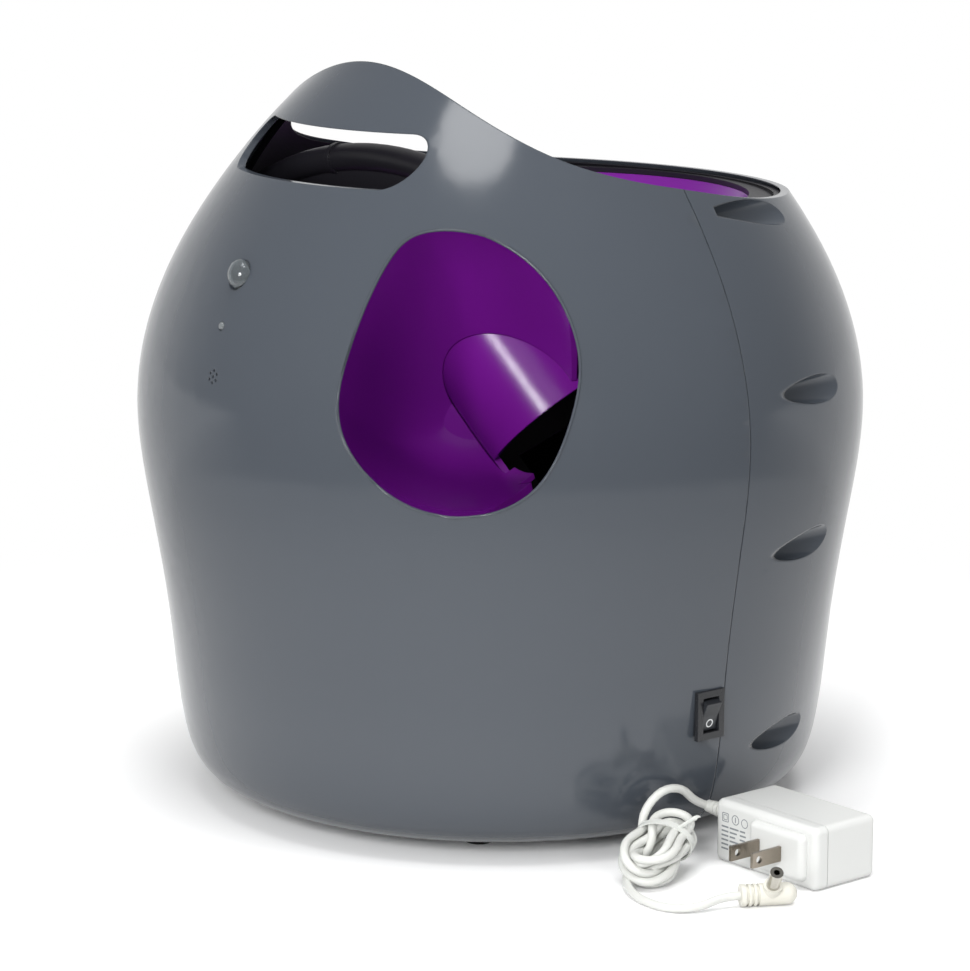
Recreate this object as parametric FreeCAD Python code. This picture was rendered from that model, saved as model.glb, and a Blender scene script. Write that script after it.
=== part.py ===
"""Automatic dog ball launcher with its power adapter, as separate pieces.

Frame, in millimetres: +Z up, origin on the floor under the housing's axis, -Y is the front
(motion sensor and carrying handle), and the two housing halves meet on the plane Y = 0.
Every piece is written to parts/NAME.step.
"""
import FreeCAD, Part
import math
import os

V = FreeCAD.Vector
X, Y, Z = V(1, 0, 0), V(0, 1, 0), V(0, 0, 1)
ORIGIN = V(0, 0, 0)

# ---------------------------------------------------------------- housing
FOOT_HEIGHT = 3.0
WALL = 3.0                      # moulded housing wall
FIT = 0.3                       # gap between pieces that are only laid or slid together
SEAM = 0.5                      # visible joint between the two housing halves
# Outer outline of the housing, from the flat underside to above the handle: radius, height.
HOUSING_OUTLINE = [(104.0, FOOT_HEIGHT), (121.0, 5.6), (134.0, 12.5), (143.0, 35.0),
                   (148.2, 80.0), (155.8, 130.0), (160.8, 180.0), (148.6, 230.0),
                   (125.3, 270.0), (101.0, 300.0), (75.5, 325.0), (53.0, 344.0)]
# Edge of the open top seen from the side, from the rear rim to the handle: y, height.
RIM_CURVE = [(170.0, 264.5), (100.0, 267.5), (40.0, 272.0), (0.0, 279.0), (-33.0, 286.5),
             (-54.0, 296.5), (-66.0, 309.5), (-71.0, 322.0), (-73.0, 350.0)]
HANDLE_SLOT_WIDTH = 117.0
HANDLE_SLOT_LOW, HANDLE_SLOT_HIGH = 280.5, 302.0
BASE_OPENING_R = 97.0

# ---------------------------------------------------------------- launch opening and cavity
CAVITY_AZIMUTH = 45.0           # from the front towards +X
# Outline of the launch opening: across (towards +X and the rear), height.
OPENING_OUTLINE = [(-9.0, 267.0), (10.0, 263.0), (34.0, 244.5), (45.6, 213.0), (42.0, 192.0),
                   (27.5, 165.0), (1.0, 154.0), (-32.0, 162.5), (-53.0, 192.0),
                   (-49.0, 220.0), (-37.0, 250.0), (-26.0, 263.5)]
OPENING_CENTRE = (-4.0, 210.0)
CAVITY_WALL = 2.5
# Sections of the cavity bowl: distance from the axis, centre across, centre height,
# width and height as shares of the opening's.
CAVITY_SECTIONS = [(172.0, -4.0, 210.0, 1.10, 1.09), (120.0, -5.0, 205.5, 1.10, 1.06),
                   (90.0, -5.0, 196.0, 1.02, 0.90), (62.0, -6.0, 182.0, 0.84, 0.62),
                   (44.0, -8.0, 172.0, 0.55, 0.36)]

# ---------------------------------------------------------------- ball path
BALL_R = 33.4                   # a standard tennis ball
TUBE_BORE_R = 36.5
TUBE_WALL = 3.0
TUBE_MOUTH = V(45.0, 1.0, 175.0)
TUBE_AZIMUTH, TUBE_SLOPE = 113.0, 49.5
TUBE_BEND_R = 48.0
TUBE_STRAIGHT = 62.0            # from the mouth up to the corner of the bend
TUBE_NECK = 4.0                 # straight stretch above the bend
TUBE_LIP = 21.0
BOWL_CENTRE = (-5.0, 22.0)
BOWL_R, BOWL_RIM_Z, BOWL_WALL = 97.0, 262.0, 2.5
BOWL_FLANGE = 5.0
COLLAR_WALL, COLLAR_SHELF = 3.0, 2.5
COLLAR_DROP = 1.6               # how far the collar stays below the housing's rim
FRONT_WALL_Y = -64.0
BAR_R, BAR_ARCH_R, BAR_TOP_Z = 6.0, 209.0, 286.0

# ---------------------------------------------------------------- launch unit
SEAT = V(101.0, 5.0, 146.0)     # centre of the waiting ball at rest
REST_TILT = 20.0                # launch angle at rest, degrees above level
TILT_RANGE = 17.5               # how much steeper the cradle can set it
PASSAGE_LENGTH = 190.0
CHANNEL_BACK_Y = -39.0          # the ball's channel starts in front of the cradle here
TROUGH_R, TROUGH_WALL = 34.4, 2.2
TROUGH_FRONT, TROUGH_BACK = -30.0, 36.0
TROUGH_LOW_SIDE = -21.0         # height of the side that the ball rolls in over
PIVOT_R, PIVOT_DROP = 4.0, 46.0 # the cradle tilts about this shaft under the ball
STAND_THICK, STAND_GAP, STAND_WIDTH = 3.0, 0.8, 20.0
PLATE_THICK = 3.0
LEFT_PLATE, RIGHT_PLATE = -30.5, 14.0   # outer face of the left plate, inner of the right
HAMMER_PIVOT = (58.0, -30.0)    # behind and below the ball's centre
SHAFT_R = 3.0
RUN_CLEAR = 0.06                # radial play of a shaft in its hole
GEAR_MODULE = 1.5
HUB_TEETH, WINDER_TEETH, PINION_TEETH = 20, 32, 12
WINDER_DIRECTION = -35.0        # from the hammer's shaft, degrees
PINION_DIRECTION = 80.0         # from the winder's shaft, degrees
TIER = 5.0                      # width of each gear tier
SECTOR_TEETH = 8
PAD_R, PAD_THICK = 12.0, 2.5
ARM_WIDTH = 8.0
MOTOR_R, MOTOR_LENGTH = 14.0, 36.0

# ---------------------------------------------------------------- base, battery, electrics
BASE_THICK = 3.0
BASE_R = BASE_OPENING_R + 6.4
FOOT_RING_R, SCREW_RING_R = BASE_OPENING_R + 3.5, BASE_OPENING_R + 2.8
FOOT_STEM_R = 2.2
LUG_R = 3.4
BATTERY_CENTRE = (-10.0, 0.0)
CELL_R, CELL_LENGTH = 17.1, 61.5
BATTERY_WALL = 2.0
DOOR_CLEAR = 0.4
SWITCH_Y, SWITCH_Z = -8.6, 61.0
SWITCH_WIDTH, SWITCH_HEIGHT = 15.0, 21.0
DIAL_X, DIAL_Z, DIAL_R = -30.0, 130.0, 19.0
JACK_X, JACK_Z = 20.0, 42.0
SCREW_WELL_R = 6.2
SCREW_LEVELS = [266.0, 194.0, 127.0, 42.0]
WELL_FLOOR_Y = 12.0
SCREW_R, SCREW_HEAD_R = 1.75, 3.6
SENSOR_Z, LED_Z = 243.0, 222.5
SPEAKER_X, SPEAKER_Z = 2.0, 202.0
BOARD_Y = -124.0

# ---------------------------------------------------------------- adapter and lead
ADAPTER_CORNER = V(155.0, -12.0, 0.0)
ADAPTER_SIZE = V(60.0, 35.0, 27.0)
ADAPTER_FRONT_DEPTH = 7.0
ADAPTER_EDGE_R = 3.0
BLADE_GAP, BLADE_THICK, BLADE_HEIGHT, BLADE_LENGTH = 12.7, 1.5, 6.35, 16.0
LEAD_D = 3.6
PLUG_R, PLUG_LENGTH = 4.6, 19.0
BARREL_R, BARREL_LENGTH = 2.75, 9.5

PARTS = {}


def keep(name, shape):
    """Store a piece under its node's name."""
    PARTS[name] = shape
    return shape


def cyl(radius, length, base, axis=Z):
    return Part.makeCylinder(radius, length, base, axis)


def ring(outer, inner, length, base, axis=Z):
    return cyl(outer, length, base, axis).cut(cyl(inner, length, base, axis))


def block(low, high):
    size = high - low
    return Part.makeBox(size.x, size.y, size.z, low)


def joined(shapes):
    first = shapes[0]
    return first.fuse(shapes[1:]).removeSplitter() if len(shapes) > 1 else first


def largest(shape):
    """The largest solid of a shape."""
    return max(shape.Solids, key=lambda solid: solid.Volume)


def prism(points, direction):
    """Extrude a closed outline of straight edges."""
    return Part.Face(Part.makePolygon(points + [points[0]])).extrude(direction)


# ================================================================ housing surface
def outline_curve(inset):
    """The housing's outline, moved inwards by inset, as one curve in the plane X-Z."""
    curve = Part.BSplineCurve()
    points = [V(r, 0, z) for r, z in HOUSING_OUTLINE]
    curve.interpolate(points)
    if inset == 0:
        return curve
    moved = []
    for point in points:
        along = curve.tangent(curve.parameter(point))[0]
        moved.append(point + V(-along.z, 0, along.x) * inset)
    inner = Part.BSplineCurve()
    inner.interpolate(moved)
    return inner


def dome(inset):
    """Solid of revolution bounded by the housing's outline moved inwards by inset."""
    edge = outline_curve(inset).toShape()
    low, high = edge.Vertexes[0].Point, edge.Vertexes[-1].Point
    foot, top = V(0, 0, low.z), V(0, 0, high.z)
    wire = Part.Wire([Part.makeLine(foot, low), edge, Part.makeLine(high, top),
                      Part.makeLine(top, foot)])
    return Part.Face(wire).revolve(ORIGIN, Z, 360)


def housing_radius(height, inset=0.0):
    """Radius of the housing's surface at a height."""
    curve = outline_curve(inset)
    low, high = curve.FirstParameter, curve.LastParameter
    for _ in range(40):
        middle = (low + high) / 2
        if curve.value(middle).z < height:
            low = middle
        else:
            high = middle
    return curve.value(low).x


def top_cut(drop):
    """Everything above the rim, lowered by drop."""
    curve = Part.BSplineCurve()
    curve.interpolate([V(-200, y, z - drop) for y, z in RIM_CURVE])
    start, end = curve.toShape().Vertexes[0].Point, curve.toShape().Vertexes[-1].Point
    roof = 380.0
    wire = Part.Wire([curve.toShape(), Part.makeLine(end, V(-200, end.y, roof)),
                      Part.makeLine(V(-200, end.y, roof), V(-200, start.y, roof)),
                      Part.makeLine(V(-200, start.y, roof), start)])
    return Part.Face(wire).extrude(V(400, 0, 0))


def cavity_point(out, across, height):
    """A point of the launch cavity's own directions: out of the housing, across, up."""
    a = math.radians(CAVITY_AZIMUTH)
    return V(out * math.sin(a) + across * math.cos(a),
             -out * math.cos(a) + across * math.sin(a), height)


def opening_wire(out, centre_across, centre_height, wide, high, grow=0.0):
    """The opening's outline, scaled about its centre, at a distance from the axis."""
    half_w = (max(p[0] for p in OPENING_OUTLINE) - min(p[0] for p in OPENING_OUTLINE)) / 2
    half_h = (max(p[1] for p in OPENING_OUTLINE) - min(p[1] for p in OPENING_OUTLINE)) / 2
    sw, sh = wide + grow / half_w, high + grow / half_h
    points = [cavity_point(out, centre_across + (a - OPENING_CENTRE[0]) * sw,
                           centre_height + (h - OPENING_CENTRE[1]) * sh)
              for a, h in OPENING_OUTLINE]
    curve = Part.BSplineCurve()
    curve.interpolate(Points=points, PeriodicFlag=True)
    return Part.Wire(curve.toShape())


def cavity_solid(grow):
    """The cavity bowl as a solid, grown on every side."""
    wires = [opening_wire(*section, grow=grow) for section in CAVITY_SECTIONS]
    last = list(CAVITY_SECTIONS[-1])
    last[0] -= 8.0 + grow
    last[3] *= 0.5
    last[4] *= 0.5
    wires.append(opening_wire(*last, grow=grow))
    return Part.makeLoft(wires, True, False)


# ================================================================ feed tube
def tube_axes():
    a, s = math.radians(TUBE_AZIMUTH), math.radians(TUBE_SLOPE)
    level = V(math.sin(a), -math.cos(a), 0)
    down = level * math.cos(s) - Z * math.sin(s)
    return level, down


def tube_path():
    """Corner and ends of the feed tube: from the bowl's throat down to the mouth."""
    level, down = tube_axes()
    corner = TUBE_MOUTH - down * TUBE_STRAIGHT
    turn = math.radians(90 - TUBE_SLOPE)
    reach = TUBE_BEND_R * math.tan(turn / 2)
    top = corner + Z * (reach + TUBE_NECK)
    return corner, reach, top


def tube_solid(radius, extra_top=0.0, extra_mouth=0.0):
    """A round bar along the feed tube's axis."""
    level, down = tube_axes()
    corner, reach = tube_path()[:2]
    start = corner + Z * reach
    end = corner + down * reach
    neck = cyl(radius, TUBE_NECK + extra_top, start)
    section = Part.Face(Part.Wire(Part.makeCircle(radius, start, Z)))
    centre = start + level * TUBE_BEND_R
    spin = Z.cross(level)
    bend = section.revolve(centre, spin, -(90 - TUBE_SLOPE))
    if (bend.BoundBox.ZMin > start.z - 1):
        bend = section.revolve(centre, spin, 90 - TUBE_SLOPE)
    straight = cyl(radius, TUBE_STRAIGHT - reach + extra_mouth, end, down)
    return joined([neck, bend, straight])


# ================================================================ launch unit frame
def on_cradle(shape):
    """From the launch unit's own directions (launch along -Y, ball centre at 0) to its place."""
    placed = shape.copy()
    placed.rotate(ORIGIN, X, -REST_TILT)
    placed.translate(SEAT)
    return placed


def cradle_point(x, back, up):
    t = math.radians(REST_TILT)
    return SEAT + V(x, back * math.cos(t) + up * math.sin(t),
                    -back * math.sin(t) + up * math.cos(t))


def direction(degrees, length):
    a = math.radians(degrees)
    return length * math.cos(a), length * math.sin(a)


def pitch_r(teeth):
    return GEAR_MODULE * teeth / 2


def gear_face_on(x, back, up, teeth, tooth_at, width, hole_r, keep_teeth=None):
    """A spur gear whose axis is X; tooth_at is the angle of one tooth's middle."""
    pitch = 2 * math.pi / teeth
    root, tip = pitch_r(teeth) - 1.15 * GEAR_MODULE, pitch_r(teeth) + 0.85 * GEAR_MODULE
    points = []
    for k in range(teeth):
        middle = math.radians(tooth_at) + k * pitch
        whole = keep_teeth is None or k <= 1 or k >= teeth - keep_teeth
        flank = [(root, -0.25), (tip, -0.10), (tip, 0.10), (root, 0.25)]
        if not whole:
            flank = [(root, -0.25), (root, 0.25)]
        for radius, share in flank:
            angle = middle + share * pitch
            points.append(V(x, back + radius * math.cos(angle), up + radius * math.sin(angle)))
    solid = prism(points, V(width, 0, 0))
    return solid.cut(cyl(hole_r, width, V(x, back, up), X)) if hole_r else solid


# Places of the gears' shafts, in the launch unit's own directions: back, up.
def gear_places():
    dy, dz = direction(WINDER_DIRECTION, pitch_r(HUB_TEETH) + pitch_r(WINDER_TEETH))
    winder = (HAMMER_PIVOT[0] + dy, HAMMER_PIVOT[1] + dz)
    dy, dz = direction(PINION_DIRECTION, pitch_r(WINDER_TEETH) + pitch_r(PINION_TEETH))
    return winder, (winder[0] + dy, winder[1] + dz)


# ================================================================ housing pieces
def housing_shells():
    shell = dome(0).cut(dome(WALL)).cut(top_cut(0))
    shell = shell.cut(cyl(BASE_OPENING_R, 3 * WALL, V(0, 0, FOOT_HEIGHT - WALL)))
    half = 400.0
    front = shell.common(block(V(-half, -half, 0), V(half, -SEAM / 2, half)))
    rear = shell.common(block(V(-half, SEAM / 2, 0), V(half, half, half)))

    slot_r = (HANDLE_SLOT_HIGH - HANDLE_SLOT_LOW) / 2
    centre_x = HANDLE_SLOT_WIDTH / 2 - slot_r
    slot_z = (HANDLE_SLOT_HIGH + HANDLE_SLOT_LOW) / 2
    slot = joined([block(V(-centre_x, -170, HANDLE_SLOT_LOW), V(centre_x, -60, HANDLE_SLOT_HIGH)),
                   cyl(slot_r, 110, V(-centre_x, -170, slot_z), Y),
                   cyl(slot_r, 110, V(centre_x, -170, slot_z), Y)])
    opening = Part.Face(opening_wire(60.0, *OPENING_CENTRE, 1.0, 1.0))
    opening = opening.extrude(cavity_point(150.0, 0, 0))
    for hole in speaker_holes() + [led_hole(), sensor_hole(), switch_cutout(), opening, slot]:
        front = front.cut(hole)

    bosses, pilots, wells, clears, towers = [], [], [], [], []
    hull = dome(0)
    for x, z in screw_places():
        bosses.append(cyl(5.2, 24.0, V(x, -24.0 - SEAM / 2, z), Y))
        pilots.append(cyl(SCREW_R - 0.25, 22.0, V(x, -22.0, z), Y))
        towers.append(cyl(SCREW_WELL_R + 2.2, 60.0, V(x, SEAM / 2, z), Y))
        wells.append(cyl(SCREW_WELL_R, 160.0, V(x, WELL_FLOOR_Y, z), Y))
        clears.append(cyl(SCREW_R + 0.2, 30.0, V(x, 0, z), Y))
    inside = hull.cut(top_cut(0))
    for boss in bosses:
        front = front.fuse(boss.common(inside))
    for post in board_posts():
        front = front.fuse(post)
    for hole in pilots + foot_holes() + base_screw_holes(SCREW_R + 0.2):
        front = front.cut(hole)
    for tower in towers:
        rear = rear.fuse(tower.common(inside))
    for seat in (dial_seat(), jack_seat()):
        rear = rear.fuse(seat)
    rear_holes = wells + clears + [dial_hole(), jack_hole()]
    for hole in rear_holes + foot_holes() + base_screw_holes(SCREW_R + 0.2):
        rear = rear.cut(hole)
    keep("front_shell", front)
    keep("rear_shell", rear)


def screw_places():
    places = []
    for z in SCREW_LEVELS:
        x = housing_radius(z) - SCREW_WELL_R - 1.6
        places += [(x, z), (-x, z)]
    return places


def shell_screws():
    screws = []
    for x, z in screw_places():
        head = cyl(SCREW_HEAD_R, 2.6, V(x, WELL_FLOOR_Y, z), Y)
        head = head.cut(cyl(1.2, 1.4, V(x, WELL_FLOOR_Y + 1.2, z), Y))
        shank = cyl(SCREW_R - 0.25, WELL_FLOOR_Y + 16.0, V(x, -16.0, z), Y)
        screws.append(head.fuse(shank))
    keep("shell_screws", Part.makeCompound(screws))


# ================================================================ front details
def front_y(z):
    return -housing_radius(z)


def sensor_hole():
    return cyl(6.0, 30, V(0, front_y(SENSOR_Z) - 8, SENSOR_Z), Y)


def led_hole():
    return cyl(1.8, 30, V(0, front_y(LED_Z) - 8, LED_Z), Y)


def speaker_spots():
    spots = [(0.0, 0.0)]
    for k in range(6):
        spots.append(direction(60 * k + 30, 2.5))
    return spots


def speaker_holes():
    """Seven small eight-sided holes."""
    holes = []
    for x, z in speaker_spots():
        corners = [direction(45 * k, 0.7) for k in range(8)]
        holes.append(prism([V(SPEAKER_X + x + u, front_y(SPEAKER_Z) - 8, SPEAKER_Z + z + w)
                            for u, w in corners], V(0, 30, 0)))
    return holes


def board_posts():
    posts = []
    inside = dome(0)
    for x in (-26.0, 26.0):
        for z in (196.0, 240.0):
            post = cyl(3.2, 60, V(x, BOARD_Y - 60, z), Y).common(inside)
            posts.append(post.cut(cyl(1.1, 8, V(x, BOARD_Y - 8, z), Y)))
    return posts


def sensor_pieces():
    y = front_y(SENSOR_Z)
    dome_r = 7.0
    cap = Part.makeSphere(dome_r, V(0, y + 2.6, SENSOR_Z))
    cap = cap.common(block(V(-20, y - 20, SENSOR_Z - 20), V(20, y + 1.0, SENSOR_Z + 20)))
    cap = cap.cut(Part.makeSphere(dome_r - 1.2, V(0, y + 2.6, SENSOR_Z)))
    outside = cap.cut(dome(0))
    stem = ring(6.0 - FIT / 3, 4.6, 9.0, V(0, y - 1.0, SENSOR_Z), Y)
    stem = stem.common(dome(-0.4))
    lens = outside.fuse(stem)
    keep("sensor_lens", lens)
    start = y + 8.0 + FIT
    element = cyl(4.4, 3.0, V(0, start, SENSOR_Z), Y)
    legs = [cyl(0.4, BOARD_Y - start - 3.0, V(dx, start + 3.0, SENSOR_Z), Y) for dx in (-1.8, 1.8)]
    keep("sensor_element", joined([element] + legs))
    y = front_y(LED_Z)
    led = cyl(1.7, 12.0, V(0, y + 0.4, LED_Z), Y)
    led = led.fuse(Part.makeSphere(1.7, V(0, y + 0.6, LED_Z)))
    leads = [cyl(0.3, BOARD_Y - y - 12.4, V(dx, y + 12.4, LED_Z), Y) for dx in (-0.9, 0.9)]
    keep("status_light", joined([led] + leads))
    y = front_y(SPEAKER_Z)
    buzzer = cyl(8.0, BOARD_Y - y - 12.0, V(0, y + 12.0, SPEAKER_Z), Y)
    buzzer = buzzer.cut(cyl(1.2, 2.0, V(0, y + 12.0, SPEAKER_Z), Y))
    keep("buzzer", buzzer)


def control_board():
    low, high = V(-32, BOARD_Y, 190), V(32, BOARD_Y + 1.6, 246)
    board = block(low, high)
    holes = [cyl(1.3, 4, V(x, BOARD_Y - 1, z), Y) for x in (-26.0, 26.0) for z in (196.0, 240.0)]
    board = board.cut(holes)
    face = BOARD_Y + 1.6
    chips = [block(V(-14, face, 206), V(2, face + 2.2, 222)),
             block(V(8, face, 200), V(20, face + 9, 212)),
             block(V(-26, face, 226), V(-10, face + 7, 234)),
             cyl(4.0, 10, V(18, face, 230), Y), cyl(3.2, 8, V(6, face, 236), Y)]
    keep("control_board", joined([board] + chips))
    screws = []
    for x in (-26.0, 26.0):
        for z in (196.0, 240.0):
            head = cyl(2.4, 1.6, V(x, face, z), Y)
            screws.append(head.fuse(cyl(1.1, 7.5, V(x, face - 7.5, z), Y)))
    keep("board_screws", Part.makeCompound(screws))


# ================================================================ power switch
def switch_face_x():
    return housing_radius(SWITCH_Z) + 0.9


def switch_cutout():
    x = switch_face_x()
    return block(V(x - 20, SWITCH_Y - SWITCH_WIDTH / 2 + 1.2, SWITCH_Z - SWITCH_HEIGHT / 2 + 1.2),
                 V(x + 10, SWITCH_Y + SWITCH_WIDTH / 2 - 1.2, SWITCH_Z + SWITCH_HEIGHT / 2 - 1.2))


def power_switch():
    x = switch_face_x()
    half_w, half_h = SWITCH_WIDTH / 2, SWITCH_HEIGHT / 2
    bezel = block(V(x - 1.0, SWITCH_Y - half_w, SWITCH_Z - half_h),
                  V(x + 1.2, SWITCH_Y + half_w, SWITCH_Z + half_h))
    body = block(V(x - 17.0, SWITCH_Y - half_w + 1.5, SWITCH_Z - half_h + 1.5),
                 V(x + 0.2, SWITCH_Y + half_w - 1.5, SWITCH_Z + half_h - 1.5))
    well = block(V(x - 8.5, SWITCH_Y - half_w + 3.0, SWITCH_Z - half_h + 3.0),
                 V(x + 4.0, SWITCH_Y + half_w - 3.0, SWITCH_Z + half_h - 3.0))
    tabs = [block(V(x - 24.0, SWITCH_Y - 2.4, SWITCH_Z + dz), V(x - 17.0, SWITCH_Y + 2.4, SWITCH_Z + dz + 0.8))
            for dz in (-5.0, 4.2)]
    bezel = bezel.cut(dome(0))
    pin = cyl(1.0, SWITCH_WIDTH - 3.0, V(x - 3.0, SWITCH_Y - half_w + 1.5, SWITCH_Z), Y)
    keep("switch_housing", joined([bezel, body] + tabs).cut(well).fuse(pin))
    # The rocker: a shallow V that pivots about the pin.
    wide, high = SWITCH_WIDTH - 6.0 - 2 * FIT, SWITCH_HEIGHT - 6.0 - 2 * FIT
    y0 = SWITCH_Y - wide / 2
    pivot = V(x - 3.0, 0, SWITCH_Z)
    outline = [V(x - 3.4, y0, SWITCH_Z - high / 2 + 1.2), V(x - 0.6, y0, SWITCH_Z - high / 2 + 0.2),
               V(x + 0.9, y0, SWITCH_Z - 0.4), V(x + 3.4, y0, SWITCH_Z + high / 2 - 1.9),
               V(x + 0.2, y0, SWITCH_Z + high / 2 - 0.9),
               V(x - 2.4, y0, SWITCH_Z + high / 2 - 0.9), V(x - 6.0, y0, SWITCH_Z + 2.0),
               V(x - 6.0, y0, SWITCH_Z - 2.0)]
    rocker = prism(outline, V(0, wide, 0))
    rocker = rocker.cut(cyl(1.0 + RUN_CLEAR, 40, V(pivot.x, SWITCH_Y - 20, pivot.z), Y))
    keep("switch_rocker", rocker)


# ================================================================ rear details
def dial_plane_y():
    """The dial's seat: a flat a little inside the housing's surface."""
    flat_r = housing_radius(DIAL_Z - DIAL_R - 4)
    return math.sqrt(flat_r ** 2 - (abs(DIAL_X) + DIAL_R + 4) ** 2) - 1.0


def dial_seat():
    y = dial_plane_y()
    seat = cyl(DIAL_R + 4.5, 40, V(DIAL_X, y - 3.0, DIAL_Z), Y).common(dome(0))
    return seat.cut(cyl(DIAL_R + 2.0, 60, V(DIAL_X, y, DIAL_Z), Y))


def dial_hole():
    y = dial_plane_y()
    return cyl(DIAL_R + 2.0, 60, V(DIAL_X, y, DIAL_Z), Y).fuse(
        cyl(4.2, 20, V(DIAL_X, y - 10, DIAL_Z), Y))


def distance_dial():
    y = dial_plane_y()
    knob = cyl(DIAL_R, 9.0, V(DIAL_X, y + FIT, DIAL_Z), Y)
    grip_top = y + FIT + 9.0
    grip = block(V(DIAL_X - 3.0, grip_top, DIAL_Z - DIAL_R + 2), V(DIAL_X + 3.0, grip_top + 6, DIAL_Z + DIAL_R - 2))
    flutes = []
    for k in range(18):
        a = math.radians(20 * k + 10)
        flutes.append(cyl(1.3, 9.0, V(DIAL_X + (DIAL_R + 0.4) * math.cos(a), y + FIT,
                                      DIAL_Z + (DIAL_R + 0.4) * math.sin(a)), Y))
    pointer = block(V(DIAL_X - 0.7, grip_top + 5.4, DIAL_Z + 6), V(DIAL_X + 0.7, grip_top + 7, DIAL_Z + DIAL_R - 3))
    bore = cyl(3.0, 8.0, V(DIAL_X, y + FIT, DIAL_Z), Y)
    keep("distance_dial", knob.fuse(grip).cut(flutes + [pointer, bore]))
    spindle = cyl(3.0, 8.0 + 8.0, V(DIAL_X, y - 8.0 + FIT, DIAL_Z), Y)
    keep("dial_spindle", spindle)
    body = cyl(8.5, 8.0, V(DIAL_X, y - 16.0, DIAL_Z), Y)
    neck = ring(4.0, 3.0 + RUN_CLEAR, 8.0, V(DIAL_X, y - 8.0, DIAL_Z), Y)
    nut = ring(6.2, 4.0, 2.2, V(DIAL_X, y - 3.0 - 2.2, DIAL_Z), Y)
    body = body.fuse([neck, nut])
    pins = [block(V(DIAL_X + dx - 0.5, y - 14.0, DIAL_Z - 14.5), V(DIAL_X + dx + 0.5, y - 13.4, DIAL_Z - 6.0))
            for dx in (-5.0, 0.0, 5.0)]
    keep("dial_sensor", joined([body] + pins))


def jack_plane_y():
    return math.sqrt(housing_radius(JACK_Z - 8) ** 2 - (JACK_X + 8) ** 2) - 1.0


def jack_seat():
    y = jack_plane_y()
    seat = cyl(9.5, 30, V(JACK_X, y - 3.0, JACK_Z), Y).common(dome(0))
    return seat.cut(cyl(7.5, 40, V(JACK_X, y, JACK_Z), Y))


def jack_hole():
    y = jack_plane_y()
    return cyl(7.5, 40, V(JACK_X, y, JACK_Z), Y).fuse(cyl(5.6, 20, V(JACK_X, y - 10, JACK_Z), Y))


def power_jack():
    y = jack_plane_y()
    flange = cyl(7.0, 1.4, V(JACK_X, y, JACK_Z), Y)
    barrel = cyl(5.5, 14.0, V(JACK_X, y - 12.6, JACK_Z), Y)
    bore = cyl(BARREL_R + 0.15, 10.5, V(JACK_X, y + 1.4 - 10.5, JACK_Z), Y)
    pin = cyl(1.0, 9.5, V(JACK_X, y - 9.1, JACK_Z), Y)
    nut = ring(7.2, 5.5, 2.4, V(JACK_X, y - 3.0 - 2.4, JACK_Z), Y)
    tabs = [block(V(JACK_X + dx - 1.2, y - 18.0, JACK_Z - 0.4), V(JACK_X + dx + 1.2, y - 12.6, JACK_Z + 0.4))
            for dx in (-3.0, 3.0)]
    keep("power_jack", joined([flange, barrel, nut] + tabs).cut(bore).fuse(pin))


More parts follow.
